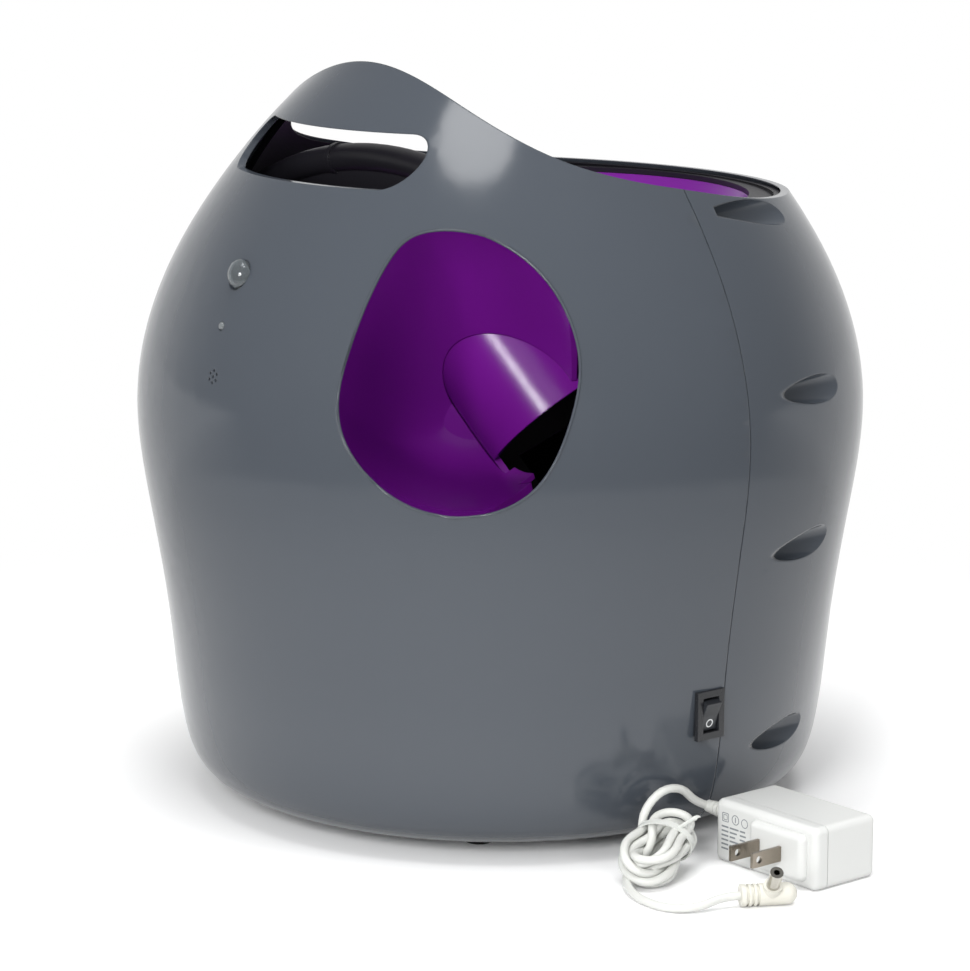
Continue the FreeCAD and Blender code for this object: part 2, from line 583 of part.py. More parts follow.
# ================================================================ hopper
def hopper():
    top = tube_path()[2]

    def bowl_body(grow, drop):
        rim = Part.Wire(Part.makeCircle(BOWL_R + grow, V(*BOWL_CENTRE, BOWL_RIM_Z), Z))
        lip_r = BOWL_R - 4 + grow
        low = Part.Wire(Part.makeCircle(lip_r, V(*BOWL_CENTRE, BOWL_RIM_Z - 8 - drop), Z))
        throat = Part.Wire(Part.makeCircle(TUBE_BORE_R + grow, V(top.x, top.y, top.z + 3 - drop), Z))
        upper = Part.makeLoft([rim, low], True, True)
        lower = Part.makeLoft([low, throat], True, True)
        return upper.fuse(lower)

    outer, inner = bowl_body(BOWL_WALL, BOWL_WALL), bowl_body(0, 0)
    spigot = cyl(TUBE_BORE_R + BOWL_WALL, 3.0 + 1.0, V(top.x, top.y, top.z))
    flange = cyl(BOWL_R + BOWL_FLANGE, BOWL_WALL, V(*BOWL_CENTRE, BOWL_RIM_Z - BOWL_WALL))
    bowl = outer.fuse([spigot, flange]).cut([inner, cyl(TUBE_BORE_R, 12, V(top.x, top.y, top.z - 2))])
    bowl = bowl.common(dome(WALL + FIT))
    bowl = bowl.cut([cavity_solid(CAVITY_WALL + FIT), launch_passage(CAVITY_WALL + FIT)])
    keep("hopper_bowl", bowl)

    shelf_z = BOWL_RIM_Z
    space = dome(WALL + FIT).common(block(V(-200, -200, shelf_z), V(200, 200, 340)))
    hollow = dome(WALL + FIT + COLLAR_WALL)
    hollow = hollow.common(block(V(-200, -200, shelf_z + COLLAR_SHELF), V(200, 200, 340)))
    collar = space.cut(hollow)
    # In front of the front wall only the shelf stays: the hand reaches in above it.
    collar = collar.cut(block(V(-200, -200, shelf_z + COLLAR_SHELF), V(200, FRONT_WALL_Y - 1.5, 340)))
    arch_z = BAR_TOP_Z - BAR_ARCH_R
    wall = cyl(BAR_ARCH_R, 3.0, V(0, FRONT_WALL_Y - 1.5, arch_z), Y).common(space)
    bar = Part.makeTorus(BAR_ARCH_R, BAR_R, V(0, FRONT_WALL_Y, arch_z), Y).common(space)
    band = Part.makeTorus(BAR_ARCH_R, BAR_R + 0.8, V(0, FRONT_WALL_Y, arch_z), Y)
    band = band.common(block(V(-35, -100, 200), V(-32, 0, 340))).common(space)
    collar = collar.fuse([wall, bar, band])
    collar = collar.cut([top_cut(COLLAR_DROP), cyl(BOWL_R, 8, V(*BOWL_CENTRE, shelf_z - 2)),
                         cavity_solid(CAVITY_WALL + FIT), launch_passage(CAVITY_WALL + FIT)])
    for x, z in screw_places():
        collar = collar.cut(cyl(SCREW_WELL_R + 2.2 + FIT, 90, V(x, -26, z), Y))
    keep("hopper_collar", largest(collar))

    tube = tube_solid(TUBE_BORE_R + TUBE_WALL, 0.0, TUBE_LIP)
    bore = tube_solid(TUBE_BORE_R, 2.0, TUBE_LIP + 2.0)
    tube = tube.cut(bore)
    keep("feed_tube", tube.cut(mouth_trim()))


def mouth_trim():
    """What is cut off past the mouth, so that only a narrow lip on the front side runs on."""
    level, down = tube_axes()
    side = Z.cross(level) * -1
    up = side.cross(down)
    if up.z < 0:
        up = up * -1
    big = TUBE_BORE_R + TUBE_WALL + 5
    slab = cyl(big, TUBE_LIP + 10, TUBE_MOUTH, down)
    # The lip spans these angles around the tube, from the front side towards its floor.
    first, last = -100.0, -52.0
    points = [TUBE_MOUTH]
    for k in range(5):
        a = math.radians(first + (last - first) * k / 4)
        points.append(TUBE_MOUTH + (side * math.cos(a) + up * math.sin(a)) * (big * 1.3))
    wedge = prism(points, down * (TUBE_LIP + 10))
    return slab.cut(wedge)


def launch_passage(grow):
    """Room that the launched ball sweeps forwards from the seat, between its two end angles."""
    r = BALL_R + 1.6 + grow
    pivot = cradle_point(0, 0, -PIVOT_DROP)
    arm = SEAT - pivot
    bars, ends = [], []
    for tilt in (0.0, TILT_RANGE):
        a = math.radians(tilt)
        seat = pivot + V(0, arm.y * math.cos(a) + arm.z * math.sin(a),
                         -arm.y * math.sin(a) + arm.z * math.cos(a))
        launch = math.radians(REST_TILT + tilt)
        towards = V(0, -math.cos(launch), math.sin(launch))
        bars.append(cyl(r, PASSAGE_LENGTH, seat, towards))
        ends += [seat, seat + towards * PASSAGE_LENGTH]
    between = prism([ends[0], ends[1], ends[3], ends[2]], V(2 * r, 0, 0))
    between.translate(V(-r, 0, 0))
    return bars[0].fuse([bars[1], between])


def ball_way():
    """Room for the ball rolling from the tube's mouth to its seat."""
    way = SEAT - TUBE_MOUTH
    r = BALL_R + 2.0
    return cyl(r, way.Length, TUBE_MOUTH, way).fuse(Part.makeSphere(r, SEAT))


def launch_cavity():
    """Bowl behind the launch opening, with the channel that guides the ball out on its right."""
    channel = launch_passage(CAVITY_WALL).common(block(V(0, -200, 0), V(200, CHANNEL_BACK_Y, 300)))
    bowl = cavity_solid(CAVITY_WALL).fuse(channel).common(dome(WALL + FIT))
    bowl = bowl.cut([cavity_solid(0), launch_passage(0)])
    hole = tube_solid(TUBE_BORE_R + TUBE_WALL + FIT, 0, 8)
    lip_room = tube_solid(TUBE_BORE_R + TUBE_WALL + FIT, 0, TUBE_LIP + 1).cut(mouth_trim())
    cradle_room = block(V(SEAT.x - 42, CHANNEL_BACK_Y, 90), V(200, 60, 172))
    keep("launch_cavity", largest(bowl.cut([hole, lip_room, ball_way(), cradle_room])))


def launch_pocket():
    """Black tray under the mouth: the ball rolls over its ramp into the cradle."""
    thick = 2.5
    front, back = -36.0, 44.0
    left, right = SEAT.x - 79.0, SEAT.x + LEFT_PLATE - STAND_GAP - STAND_THICK - 0.6
    high, low = 152.0, 129.0
    ramp = prism([V(left, front, high), V(right, front, low), V(right, front, low - thick),
                  V(left, front, high - thick)], V(0, back - front, 0))
    wall_left = block(V(left - thick, front, high - thick), V(left, back, 172))
    wall_back = prism([V(left - thick, back, high - thick), V(right, back, low - thick),
                       V(right, back, 172), V(left - thick, back, 172)], V(0, thick, 0))
    wall_front = prism([V(left - thick, front, high - thick), V(right, front, low - thick),
                        V(right, front, low + 4), V(left, front, high + 4),
                        V(left - thick, front, high + 4)], V(0, -thick, 0))
    tray = joined([ramp, wall_left, wall_back, wall_front])
    legs = []
    for x, y in ((left + 12, front + 10), (left + 12, back - 8)):
        top = high - thick - (x - left) * (high - low) / (right - left)
        legs.append(cyl(4.0, top + 1.0 - base_top(), V(x, y, base_top()), Z))
    tray = tray.fuse(legs).cut([battery_room(), cavity_solid(CAVITY_WALL + FIT),
                                tube_solid(TUBE_BORE_R + TUBE_WALL + FIT, 0, TUBE_LIP + 1)])
    keep("launch_pocket", largest(tray))


# ================================================================ launch unit
def launch_cradle():
    r, wall = TROUGH_R, TROUGH_WALL
    length = TROUGH_BACK + wall - TROUGH_FRONT
    trough = ring(r + wall, r, length, V(0, TROUGH_FRONT, 0), Y)
    trough = trough.cut(block(V(-60, -60, TROUGH_LOW_SIDE), V(0, 60, 60)))
    trough = trough.cut(block(V(-1, -60, 6), V(60, 60, 60)))
    back = cyl(r + wall, wall, V(0, TROUGH_BACK, 0), Y)
    back = back.cut([block(V(-60, 0, 14), V(60, 60, 60)), block(V(-60, 0, -60), V(LEFT_PLATE, 60, 60))])
    hammer_y, hammer_z = HAMMER_PIVOT
    winder, pinion = gear_places()
    # The two side plates run back from the trough and carry the shafts.
    plates = []
    shared = [(winder[0] + 11, winder[1] - 8), (winder[0] - 2, winder[1] - 10),
              (14.0, -PIVOT_DROP - 9.0), (-7.0, -PIVOT_DROP - 8.0), (-11.0, -PIVOT_DROP),
              (-13.0, -20.0), (TROUGH_BACK + wall, -20.0), (TROUGH_BACK + wall, 6.0),
              (hammer_y + 8, -18.0)]
    left = shared + [(pinion[0] + 12, pinion[1] + 14), (pinion[0] + 14, pinion[1] - 12)]
    right = shared + [(winder[0] + 7, winder[1] + 2)]
    plates.append(prism([V(LEFT_PLATE, y, z) for y, z in left], V(PLATE_THICK, 0, 0)))
    plates.append(prism([V(RIGHT_PLATE, y, z) for y, z in right], V(PLATE_THICK, 0, 0)))
    cutout = cyl(r, length + 20, V(0, TROUGH_FRONT - 1, 0), Y)
    plates = [p.cut(block(V(-60, 0, 0), V(60, TROUGH_BACK, 60))) for p in plates]
    body = trough.fuse([back] + plates)
    arm_slot = block(V(-PAD_R - 1.5, 30, -60), V(PAD_R + 1.5, 70, PAD_R + 1.5))
    arm_slot = arm_slot.common(block(V(-60, TROUGH_BACK - 0.1, -28), V(60, 70, 60)))
    slot = block(V(4.0, 3.0, -60), V(11.0, 30.0, -20))
    barrel_room = cutout.common(block(V(-60, TROUGH_FRONT - 1, -60), V(60, TROUGH_BACK, 60)))
    holes = [arm_slot, slot, barrel_room, cyl(PIVOT_R, 120, V(-60, 0, -PIVOT_DROP), X)]
    for y, z in (HAMMER_PIVOT, winder):
        holes.append(cyl(SHAFT_R, 120, V(-60, y, z), X))
    holes.append(cyl(5.0, 60, V(-60, pinion[0], pinion[1]), X).common(
        block(V(-60, -200, -200), V(0, 200, 200))))
    for dy, dz in ((9.5, 0.0), (-9.5, 0.0)):
        holes.append(cyl(1.3, 20, V(LEFT_PLATE - 10, pinion[0] + dz, pinion[1] + dy), X))
        holes.append(cyl(2.6, 9, V(LEFT_PLATE + 1.4, pinion[0] + dz, pinion[1] + dy), X))
    keep("launch_cradle", on_cradle(body.cut(holes)))


def lever_pieces():
    """Ball-sensing lever and its switch, under the trough."""
    y_pivot, z_pivot = 33.0, -42.0
    left, width = 5.0, 5.0
    pin = cyl(1.2, 9.4, V(left - 2.2, y_pivot, z_pivot), X)
    ears = [block(V(x, y_pivot - 3, z_pivot - 3), V(x + 1.4, y_pivot + 3, -TROUGH_R + 3.5))
            for x in (left - 2.2, left + width + 0.8)]
    ears = [e.cut(cyl(TROUGH_R + TROUGH_WALL, 200, V(0, -100, 0), Y)) for e in ears]
    keep("lever_hinge", on_cradle(joined([pin] + ears)))
    touch = -BALL_R - 0.1
    arm = prism([V(left, y_pivot + 2.4, z_pivot - 2.4), V(left, y_pivot + 2.4, z_pivot + 2.4),
                 V(left, 17, z_pivot + 2.0), V(left, 12, touch), V(left, 8, touch),
                 V(left, 5.5, z_pivot + 0.5), V(left, 5.5, z_pivot - 1.5)], V(width, 0, 0))
    arm = arm.cut(cyl(1.2 + RUN_CLEAR, 20, V(0, y_pivot, z_pivot), X))
    keep("ball_lever", on_cradle(arm))
    case = block(V(left - 1, 6.0, -58.0), V(left + 6, 26.0, -47.0))
    button = cyl(1.0, 3.2, V(left + 2.5, 10.0, -47.0), Z)
    stalk = block(V(left + 6, 8.0, -58.0), V(left + 8, 24.0, -28.0))
    stalk = stalk.cut(cyl(TROUGH_R + TROUGH_WALL, 200, V(0, -100, 0), Y))
    tabs = [block(V(left + 1.5, y, -63.0), V(left + 3.5, y + 0.8, -58.0)) for y in (9.0, 16.0, 23.0)]
    keep("ball_switch", on_cradle(joined([case, button, stalk] + tabs)))


def hammer_pieces():
    y0, z0 = HAMMER_PIVOT
    winder, pinion = gear_places()
    # Hammer: hub gear, arm and head in one moulding.
    gear_x = LEFT_PLATE + PLATE_THICK + 0.7 + TIER + 0.5
    to_winder = WINDER_DIRECTION
    hub = gear_face_on(gear_x, y0, z0, HUB_TEETH, to_winder, TIER, 0)
    boss = cyl(8.0, ARM_WIDTH / 2 - gear_x, V(gear_x, y0, z0), X)
    head_y = BALL_R + FIT + PAD_THICK
    head = cyl(PAD_R + 0.5, 4.0, V(0, head_y, 0), Y)
    arm = prism([V(-ARM_WIDTH / 2, y0 - 7, z0 + 2), V(-ARM_WIDTH / 2, y0 + 6, z0 + 5),
                 V(-ARM_WIDTH / 2, head_y + 10, 2), V(-ARM_WIDTH / 2, head_y + 3.5, 8),
                 V(-ARM_WIDTH / 2, head_y + 3.5, -9)], V(ARM_WIDTH, 0, 0))
    hammer = joined([hub, boss, arm, head]).cut(cyl(SHAFT_R + RUN_CLEAR, 80, V(-40, y0, z0), X))
    keep("launch_hammer", on_cradle(hammer))
    keep("hammer_pad", on_cradle(cyl(PAD_R, PAD_THICK, V(0, BALL_R + FIT, 0), Y)))

    left = LEFT_PLATE
    plate_span = RIGHT_PLATE + PLATE_THICK - LEFT_PLATE
    shaft = cyl(SHAFT_R, plate_span, V(left, y0, z0), X)
    keep("hammer_shaft", on_cradle(shaft))
    # The winder's shaft is stepped: its shoulder keeps the gear beside the left plate.
    shoulder_x = gear_x + TIER + FIT
    winder_shaft = cyl(SHAFT_R, plate_span, V(left, winder[0], winder[1]), X)
    winder_shaft = winder_shaft.fuse(cyl(4.8, RIGHT_PLATE - shoulder_x, V(shoulder_x, *winder), X))
    keep("winder_shaft", on_cradle(winder_shaft))

    # Winder: a full gear driven by the motor and a part-toothed tier that winds the hammer.
    full_x = gear_x - TIER - 0.5
    angle_to_hub = WINDER_DIRECTION + 180.0
    half_tooth = 180.0 / WINDER_TEETH
    sector = gear_face_on(gear_x, *winder, WINDER_TEETH, angle_to_hub + half_tooth, TIER, 0,
                          keep_teeth=SECTOR_TEETH)
    pinion_phase = PINION_DIRECTION
    full = gear_face_on(full_x, *winder, WINDER_TEETH, pinion_phase, TIER, 0)
    full = full.cut([cyl(4.5, TIER, V(full_x, winder[0] + direction(60 * k, 14.5)[0],
                                      winder[1] + direction(60 * k, 14.5)[1]), X) for k in range(6)])
    winder_gear = joined([sector, full, cyl(10.0, 1.0, V(gear_x - 0.75, *winder), X)])
    winder_gear = winder_gear.cut(cyl(SHAFT_R + RUN_CLEAR, 80, V(-40, *winder), X))
    keep("winder_gear", on_cradle(winder_gear))

    pinion_gear = gear_face_on(full_x, *pinion, PINION_TEETH,
                               PINION_DIRECTION + 180.0 + 180.0 / PINION_TEETH, TIER, 0)
    shaft_r = 1.6
    motor_face = left
    pinion_gear = pinion_gear.fuse(cyl(shaft_r, full_x - motor_face + 4.0, V(motor_face - 4.0, *pinion), X))
    keep("motor_pinion", on_cradle(pinion_gear))
    motor = cyl(MOTOR_R, MOTOR_LENGTH, V(motor_face - MOTOR_LENGTH, *pinion), X)
    nose = cyl(4.8, PLATE_THICK - 0.2, V(motor_face, *pinion), X)
    tail = cyl(5.0, 3.0, V(motor_face - MOTOR_LENGTH - 3.0, *pinion), X)
    tabs = [block(V(motor_face - MOTOR_LENGTH - 5.0, pinion[0] + dy - 1.2, pinion[1] - 0.3),
                  V(motor_face - MOTOR_LENGTH, pinion[0] + dy + 1.2, pinion[1] + 0.3)) for dy in (-8.0, 8.0)]
    motor = joined([motor, nose, tail] + tabs)
    motor = motor.cut(cyl(shaft_r + RUN_CLEAR, 20, V(motor_face - 4.2, *pinion), X))
    screws = [cyl(1.3, 6.4, V(motor_face - 5.0, pinion[0], pinion[1] + dz), X).fuse(
        cyl(2.4, 1.4, V(motor_face + 1.4, pinion[0], pinion[1] + dz), X)) for dz in (-9.5, 9.5)]
    keep("drive_motor", on_cradle(motor.cut(screws)))
    keep("motor_screws", on_cradle(Part.makeCompound(screws)))

    # Torsion spring on the shaft, between the arm and the right plate.
    wire_r, coil_r, turns = 0.9, 6.0, 3
    pitch = 2.4
    start = ARM_WIDTH / 2 + 1.4
    helix = Part.makeHelix(pitch, pitch * turns, coil_r)
    profile = Part.Wire(Part.makeCircle(wire_r, V(coil_r, 0, 0), Y))
    coil = Part.Wire(helix).makePipeShell([profile], True, True)
    coil.rotate(ORIGIN, Y, 90)
    coil.translate(V(start, y0, z0))
    keep("launch_spring", on_cradle(coil))


def cradle_stand():
    """The cradle's shaft and the U-shaped stand that carries it on the base plate."""
    span = RIGHT_PLATE + PLATE_THICK - LEFT_PLATE + 2 * (STAND_GAP + STAND_THICK)
    start = LEFT_PLATE - STAND_GAP - STAND_THICK
    keep("cradle_shaft", on_cradle(cyl(PIVOT_R, span, V(start, 0, -PIVOT_DROP), X)))
    axis = cradle_point(0, 0, -PIVOT_DROP)
    foot_z = base_top()
    turn_z = foot_z + 15.0
    left_x, right_x = SEAT.x + start, SEAT.x + start + span - STAND_THICK
    inner_x = right_x - 21.0
    low_y, high_y = axis.y - STAND_WIDTH / 2, axis.y + STAND_WIDTH / 2
    parts = [block(V(left_x, low_y - 4, foot_z), V(inner_x + STAND_THICK, high_y + 4, foot_z + 3)),
             block(V(inner_x, low_y, foot_z), V(inner_x + STAND_THICK, high_y, turn_z)),
             block(V(inner_x, low_y, turn_z - 3), V(right_x + STAND_THICK, high_y, turn_z))]
    for x, low in ((left_x, foot_z), (right_x, turn_z - 3)):
        parts.append(prism([V(x, low_y, low), V(x, high_y, low), V(x, axis.y + 8, axis.z + 3),
                            V(x, axis.y + 4, axis.z + 8), V(x, axis.y - 4, axis.z + 8),
                            V(x, axis.y - 8, axis.z + 3)], V(STAND_THICK, 0, 0)))
    hole = cyl(PIVOT_R + RUN_CLEAR, 200, V(0, axis.y, axis.z), X)
    screw_holes = [cyl(SCREW_R, 20, V(x, y, 0)) for x, y in stand_screw_places()]
    studs = [cyl(3.8, 2.0, V(p.x, p.y, foot_z)) for p in foot_places()]
    keep("cradle_stand", joined(parts).cut([hole] + screw_holes + studs))
    screws = [cyl(3.2, 2.0, V(x, y, foot_z + 3.0)).fuse(cyl(SCREW_R - 0.05, 5.8, V(x, y, foot_z - 2.8)))
              for x, y in stand_screw_places()]
    keep("stand_screws", Part.makeCompound(screws))


def stand_screw_places():
    axis = cradle_point(0, 0, -PIVOT_DROP)
    x = SEAT.x + LEFT_PLATE - STAND_GAP + 6.0
    return [(x, axis.y - 10.0), (x, axis.y + 10.0)]


# ================================================================ base and battery
def base_low():
    return FOOT_HEIGHT + WALL


def base_top():
    return base_low() + BASE_THICK


def battery_half():
    return 3 * CELL_R + 1.0 + BATTERY_WALL, CELL_LENGTH + 3.5 + BATTERY_WALL


def battery_height():
    return 2 * CELL_R + 1.0 + BATTERY_WALL


def battery_room():
    hx, hy = battery_half()
    cx, cy = BATTERY_CENTRE
    return block(V(cx - hx - FIT, cy - hy - FIT, base_top()),
                 V(cx + hx + FIT, cy + hy + FIT, base_top() + battery_height() + FIT))


def foot_places():
    places = []
    for azimuth in (45, 90, 135, 225, 270, 315):
        a = math.radians(azimuth)
        places.append(V(FOOT_RING_R * math.sin(a), -FOOT_RING_R * math.cos(a), 0))
    return places


def foot_holes():
    return [cyl(FOOT_STEM_R, WALL + 1, V(p.x, p.y, FOOT_HEIGHT - 0.5)) for p in foot_places()]


def base_screw_places():
    places = []
    for azimuth in (20, 70, 110, 160, 200, 250, 290, 340):
        a = math.radians(azimuth)
        places.append(V(SCREW_RING_R * math.sin(a), -SCREW_RING_R * math.cos(a), 0))
    return places


def base_screw_holes(radius):
    return [cyl(radius, WALL + 1, V(p.x, p.y, FOOT_HEIGHT - 0.5)) for p in base_screw_places()]


def door_half():
    hx, hy = battery_half()
    return hx - BATTERY_WALL, hy - BATTERY_WALL


def base_pieces():
    cx, cy = BATTERY_CENTRE
    hx, hy = door_half()
    plate = cyl(BASE_R, BASE_THICK, V(0, 0, base_low()))
    # A rim that drops into the housing's round opening, flush with its underside.
    rim = ring(BASE_OPENING_R - FIT, BASE_OPENING_R - FIT - 3.0, WALL, V(0, 0, FOOT_HEIGHT))
    plate = plate.fuse(rim)
    plate = plate.cut(block(V(cx - hx, cy - hy, 0), V(cx + hx, cy + hy, 30)))
    plate = plate.cut([cyl(FOOT_STEM_R, 12, p) for p in foot_places()])
    plate = plate.cut([cyl(SCREW_R - 0.25, 30, p) for p in base_screw_places()])
    plate = plate.cut([cyl(SCREW_R - 0.05, 30, V(x, y, 0)) for x, y in stand_screw_places()])
    lugs = [ring(LUG_R, SCREW_R - 0.25, 5.0, V(p.x, p.y, base_top())) for p in base_screw_places()]
    # Two hinge ears for the battery door.
    ear_x, ear_z = cx - hx - 3.0, base_low() - 2.6
    ears = [block(V(ear_x - 2.5, y - 3, ear_z - 1.9), V(ear_x + 2.5, y + 3, base_low()))
            for y in (cy - 40.0, cy + 40.0)]
    pins = [cyl(1.0, 12.0, V(ear_x, y - 6, ear_z), Y) for y in (cy - 40.0, cy + 40.0)]
    keep("base_plate", plate.fuse(lugs + ears + pins))
    feet = []
    for p in foot_places():
        pad = Part.makeCone(6.0, 6.6, FOOT_HEIGHT, V(p.x, p.y, 0))
        stem = cyl(FOOT_STEM_R, WALL + BASE_THICK, V(p.x, p.y, FOOT_HEIGHT))
        top = cyl(3.4, 1.6, V(p.x, p.y, base_top()))
        feet.append(joined([pad, stem, top]))
    keep("rubber_feet", Part.makeCompound(feet))
    screws = []
    for p in base_screw_places():
        head = cyl(3.2, 1.8, V(p.x, p.y, FOOT_HEIGHT - 1.8))
        screws.append(head.fuse(cyl(SCREW_R - 0.25, WALL + BASE_THICK + 4.0, V(p.x, p.y, FOOT_HEIGHT))))
    keep("base_screws", Part.makeCompound(screws))

    # Battery door: panel inside the opening, with knuckles on the hinge pins and a finger catch.
    panel = block(V(cx - hx + DOOR_CLEAR, cy - hy + DOOR_CLEAR, base_low() - 1.5),
                  V(cx + hx - DOOR_CLEAR, cy + hy - DOOR_CLEAR, base_low() + 1.0))
    knuckles = []
    for y in (cy - 40.0, cy + 40.0):
        for start in (y - 6.0, y + 3.3):
            roll = cyl(2.2, 2.7, V(ear_x, start, ear_z), Y)
            strap = block(V(ear_x, start, ear_z - 2.2), V(cx - hx + DOOR_CLEAR + 4, start + 2.7, ear_z + 1.6))
            knuckles.append(roll.fuse(strap).cut(cyl(1.0 + RUN_CLEAR, 20, V(ear_x, y - 10, ear_z), Y)))
    notch = block(V(cx + hx - 9, cy - 9, base_low() - 2), V(cx + hx - 4, cy + 9, base_low() - 0.6))
    keep("battery_door", joined([panel] + knuckles).cut(notch))


def battery_pieces():
    cx, cy = BATTERY_CENTRE
    hx, hy = battery_half()
    top = base_top() + battery_height()
    shell = block(V(cx - hx, cy - hy, base_top()), V(cx + hx, cy + hy, top))
    inner = block(V(cx - hx + BATTERY_WALL, cy - hy + BATTERY_WALL, base_top() - 1),
                  V(cx + hx - BATTERY_WALL, cy + hy - BATTERY_WALL, top - BATTERY_WALL))
    shell = shell.cut(inner)
    ribs = []
    for dx in (-CELL_R - 0.3, CELL_R + 0.3):
        ribs.append(block(V(cx + dx - 0.6, cy - hy + 2, top - 12), V(cx + dx + 0.6, cy + hy - 2, top - 1)))
    keep("battery_box", shell.fuse(ribs))
    contacts = []
    for k in (-1, 0, 1):
        x = cx + k * 2 * (CELL_R + 0.15)
        for side in (-1, 1):
            y = cy + side * (hy - BATTERY_WALL)
            low_y, high_y = (y, y + 0.5) if side < 0 else (y - 0.5, y)
            plate = block(V(x - 7, low_y, base_top() + 8), V(x + 7, high_y, base_top() + 26))
            tip = Part.makeCone(6.0, 3.0, 2.4, V(x, y + (0.5 if side < 0 else -0.5), base_top() + 17),
                                V(0, -side, 0))
            contacts.append(plate.fuse(tip))
    keep("battery_contacts", Part.makeCompound(contacts))


# ================================================================ adapter
def rounded_box(low, high, radius):
    solid = block(low, high)
    return solid.makeFillet(radius, solid.Edges)


def adapter():
    low = ADAPTER_CORNER
    high = ADAPTER_CORNER + ADAPTER_SIZE
    case = rounded_box(low, high, ADAPTER_EDGE_R)
    split = low.y + ADAPTER_FRONT_DEPTH
    cover = case.common(block(V(low.x - 1, low.y - 1, -1), V(high.x + 1, split - 0.15, high.z + 1)))
    rest = case.common(block(V(low.x - 1, split + 0.15, -1), V(high.x + 1, high.y + 1, high.z + 1)))
    hollow = rounded_box(low + V(2, 2, 2), high - V(2, 2, 2), 2.0)
    # The raised block that carries the blades.
    block_low = V(high.x - 37.0, low.y - 3.2, low.z + 3.5)
    block_high = V(high.x - 5.0, low.y + 3.0, high.z - 3.5)
    raised = rounded_box(block_low, block_high, 2.8)
    cover = cover.cut(hollow).fuse(raised.cut(hollow))
    rest = rest.cut(hollow)
    blade_x = (block_low.x + block_high.x) / 2 - 3.0
    blade_z = (low.z + high.z) / 2
    blades = []
    for dx in (-BLADE_GAP / 2, BLADE_GAP / 2):
        x = blade_x + dx - BLADE_THICK / 2
        y_tip, y_root = block_low.y - BLADE_LENGTH, low.y + 8.0
        blade = block(V(x, y_tip, blade_z - BLADE_HEIGHT / 2), V(x + BLADE_THICK, y_root, blade_z + BLADE_HEIGHT / 2))
        blade = blade.cut(cyl(1.6, 10, V(x - 4, y_tip + 3.6, blade_z), X))
        blades.append(blade)
    keep("adapter_cover", cover.cut(blades + [relief_room()]))
    keep("adapter_case", rest.cut(blades + [relief_room()]))
    keep("adapter_blades", Part.makeCompound(blades))
    card = block(low + V(4, 9, 4), V(high.x - 4, high.y - 4, 5.6))
    core = block(V(low.x + 20, low.y + 11, 5.6), V(low.x + 42, low.y + 28, 21))
    cans = [cyl(4.0, 14, V(low.x + 11, low.y + 16 + dy, 5.6)) for dy in (0, 10)]
    stop = block(V(low.x + 4, low.y + 9, 2.0), V(high.x - 4, low.y + 12, 4.0))
    keep("adapter_board", joined([card, core, stop] + cans))


def relief_start():
    return V(ADAPTER_CORNER.x, ADAPTER_CORNER.y + 7.0, 19.5)


def relief_room():
    start = relief_start()
    return cyl(3.0, 6.0, start - V(2, 0, 0), X)


# Route of the lead from the strain relief over to the hank, and from the hank to the plug.
LEAD_OUT = [V(143.6, -5.0, 19.5), V(143.2, -12.5, 22.5), V(145.8, -22.5, 31.5),
            V(146.6, -35.0, 33.0), V(144.6, -43.0, 25.0), V(144.6, -44.0, 16.0)]
PLUG_START = V(207.7, -47.4, 4.8)
PLUG_TOWARDS = V(0.508, 0.861, 0.0)
LEAD_END = [V(152.0, -58.0, 5.0), V(163.0, -69.5, 2.6), V(178.0, -76.0, 1.9), V(194.5, -76.0, 1.9),
            V(203.5, -66.0, 2.4), V(204.1, -53.4, 4.8), PLUG_START]
BARREL_TILT = 50.0              # the plug lies on its side, its barrel raised this far
BARREL_ROOT_R = 2.3


def strain_relief():
    start = relief_start()
    end = LEAD_OUT[0]
    sleeve = Part.makeCone(3.6, 2.6, start.x - end.x, start, V(-1, 0, 0))
    grooves = [ring(6.0, 2.7, 0.9, V(start.x - 2.6 - 2.4 * k, start.y, start.z), V(-1, 0, 0)) for k in range(3)]
    plug = cyl(3.0 - 0.05, 4.0, start, X)
    keep("lead_relief", sleeve.cut(grooves).fuse(plug))


def bar_along(points, radius, name):
    """Straight runs joined by tangent arcs, as one round bar."""
    edges = []
    last = points[0]
    radii = []
    for k in range(1, len(points) - 1):
        here = points[k]
        a, b = (here - points[k - 1]), (points[k + 1] - here)
        la, lb = a.Length, b.Length
        a, b = a.normalize(), b.normalize()
        turn = math.acos(max(-1, min(1, a.dot(b))))
        bend = 0.45 * min(la, lb) / math.tan(turn / 2)
        reach = bend * math.tan(turn / 2)
        start, end = here - a * reach, here + b * reach
        middle_dir = (b - a).normalize()
        middle = here + middle_dir * (bend / math.cos(turn / 2) - bend)
        edges.append(Part.makeLine(last, start))
        edges.append(Part.Arc(start, middle, end).toShape())
        last = end
        radii.append(round(bend, 1))
    edges.append(Part.makeLine(last, points[-1]))
    path = Part.Wire(edges)
    heading = (points[1] - points[0]).normalize()
    profile = Part.Wire(Part.makeCircle(radius, points[0], heading))
    solid = path.makePipeShell([profile], True, False)
    length = sum(e.Length for e in edges)
    ratio = solid.Volume / (math.pi * radius ** 2 * length)
    print(name, "bend radii", radii, "length", round(length, 1), "volume ratio", round(ratio, 4))
    return solid


HANK_LOW, HANK_HIGH = V(165.0, -62.0, 8.6), V(153.0, -35.0, 16.6)
HANK_WIDTH, HANK_THICK = 24.0, 16.0
TIE_WIDTH, TIE_THICK = 3.0, 0.7


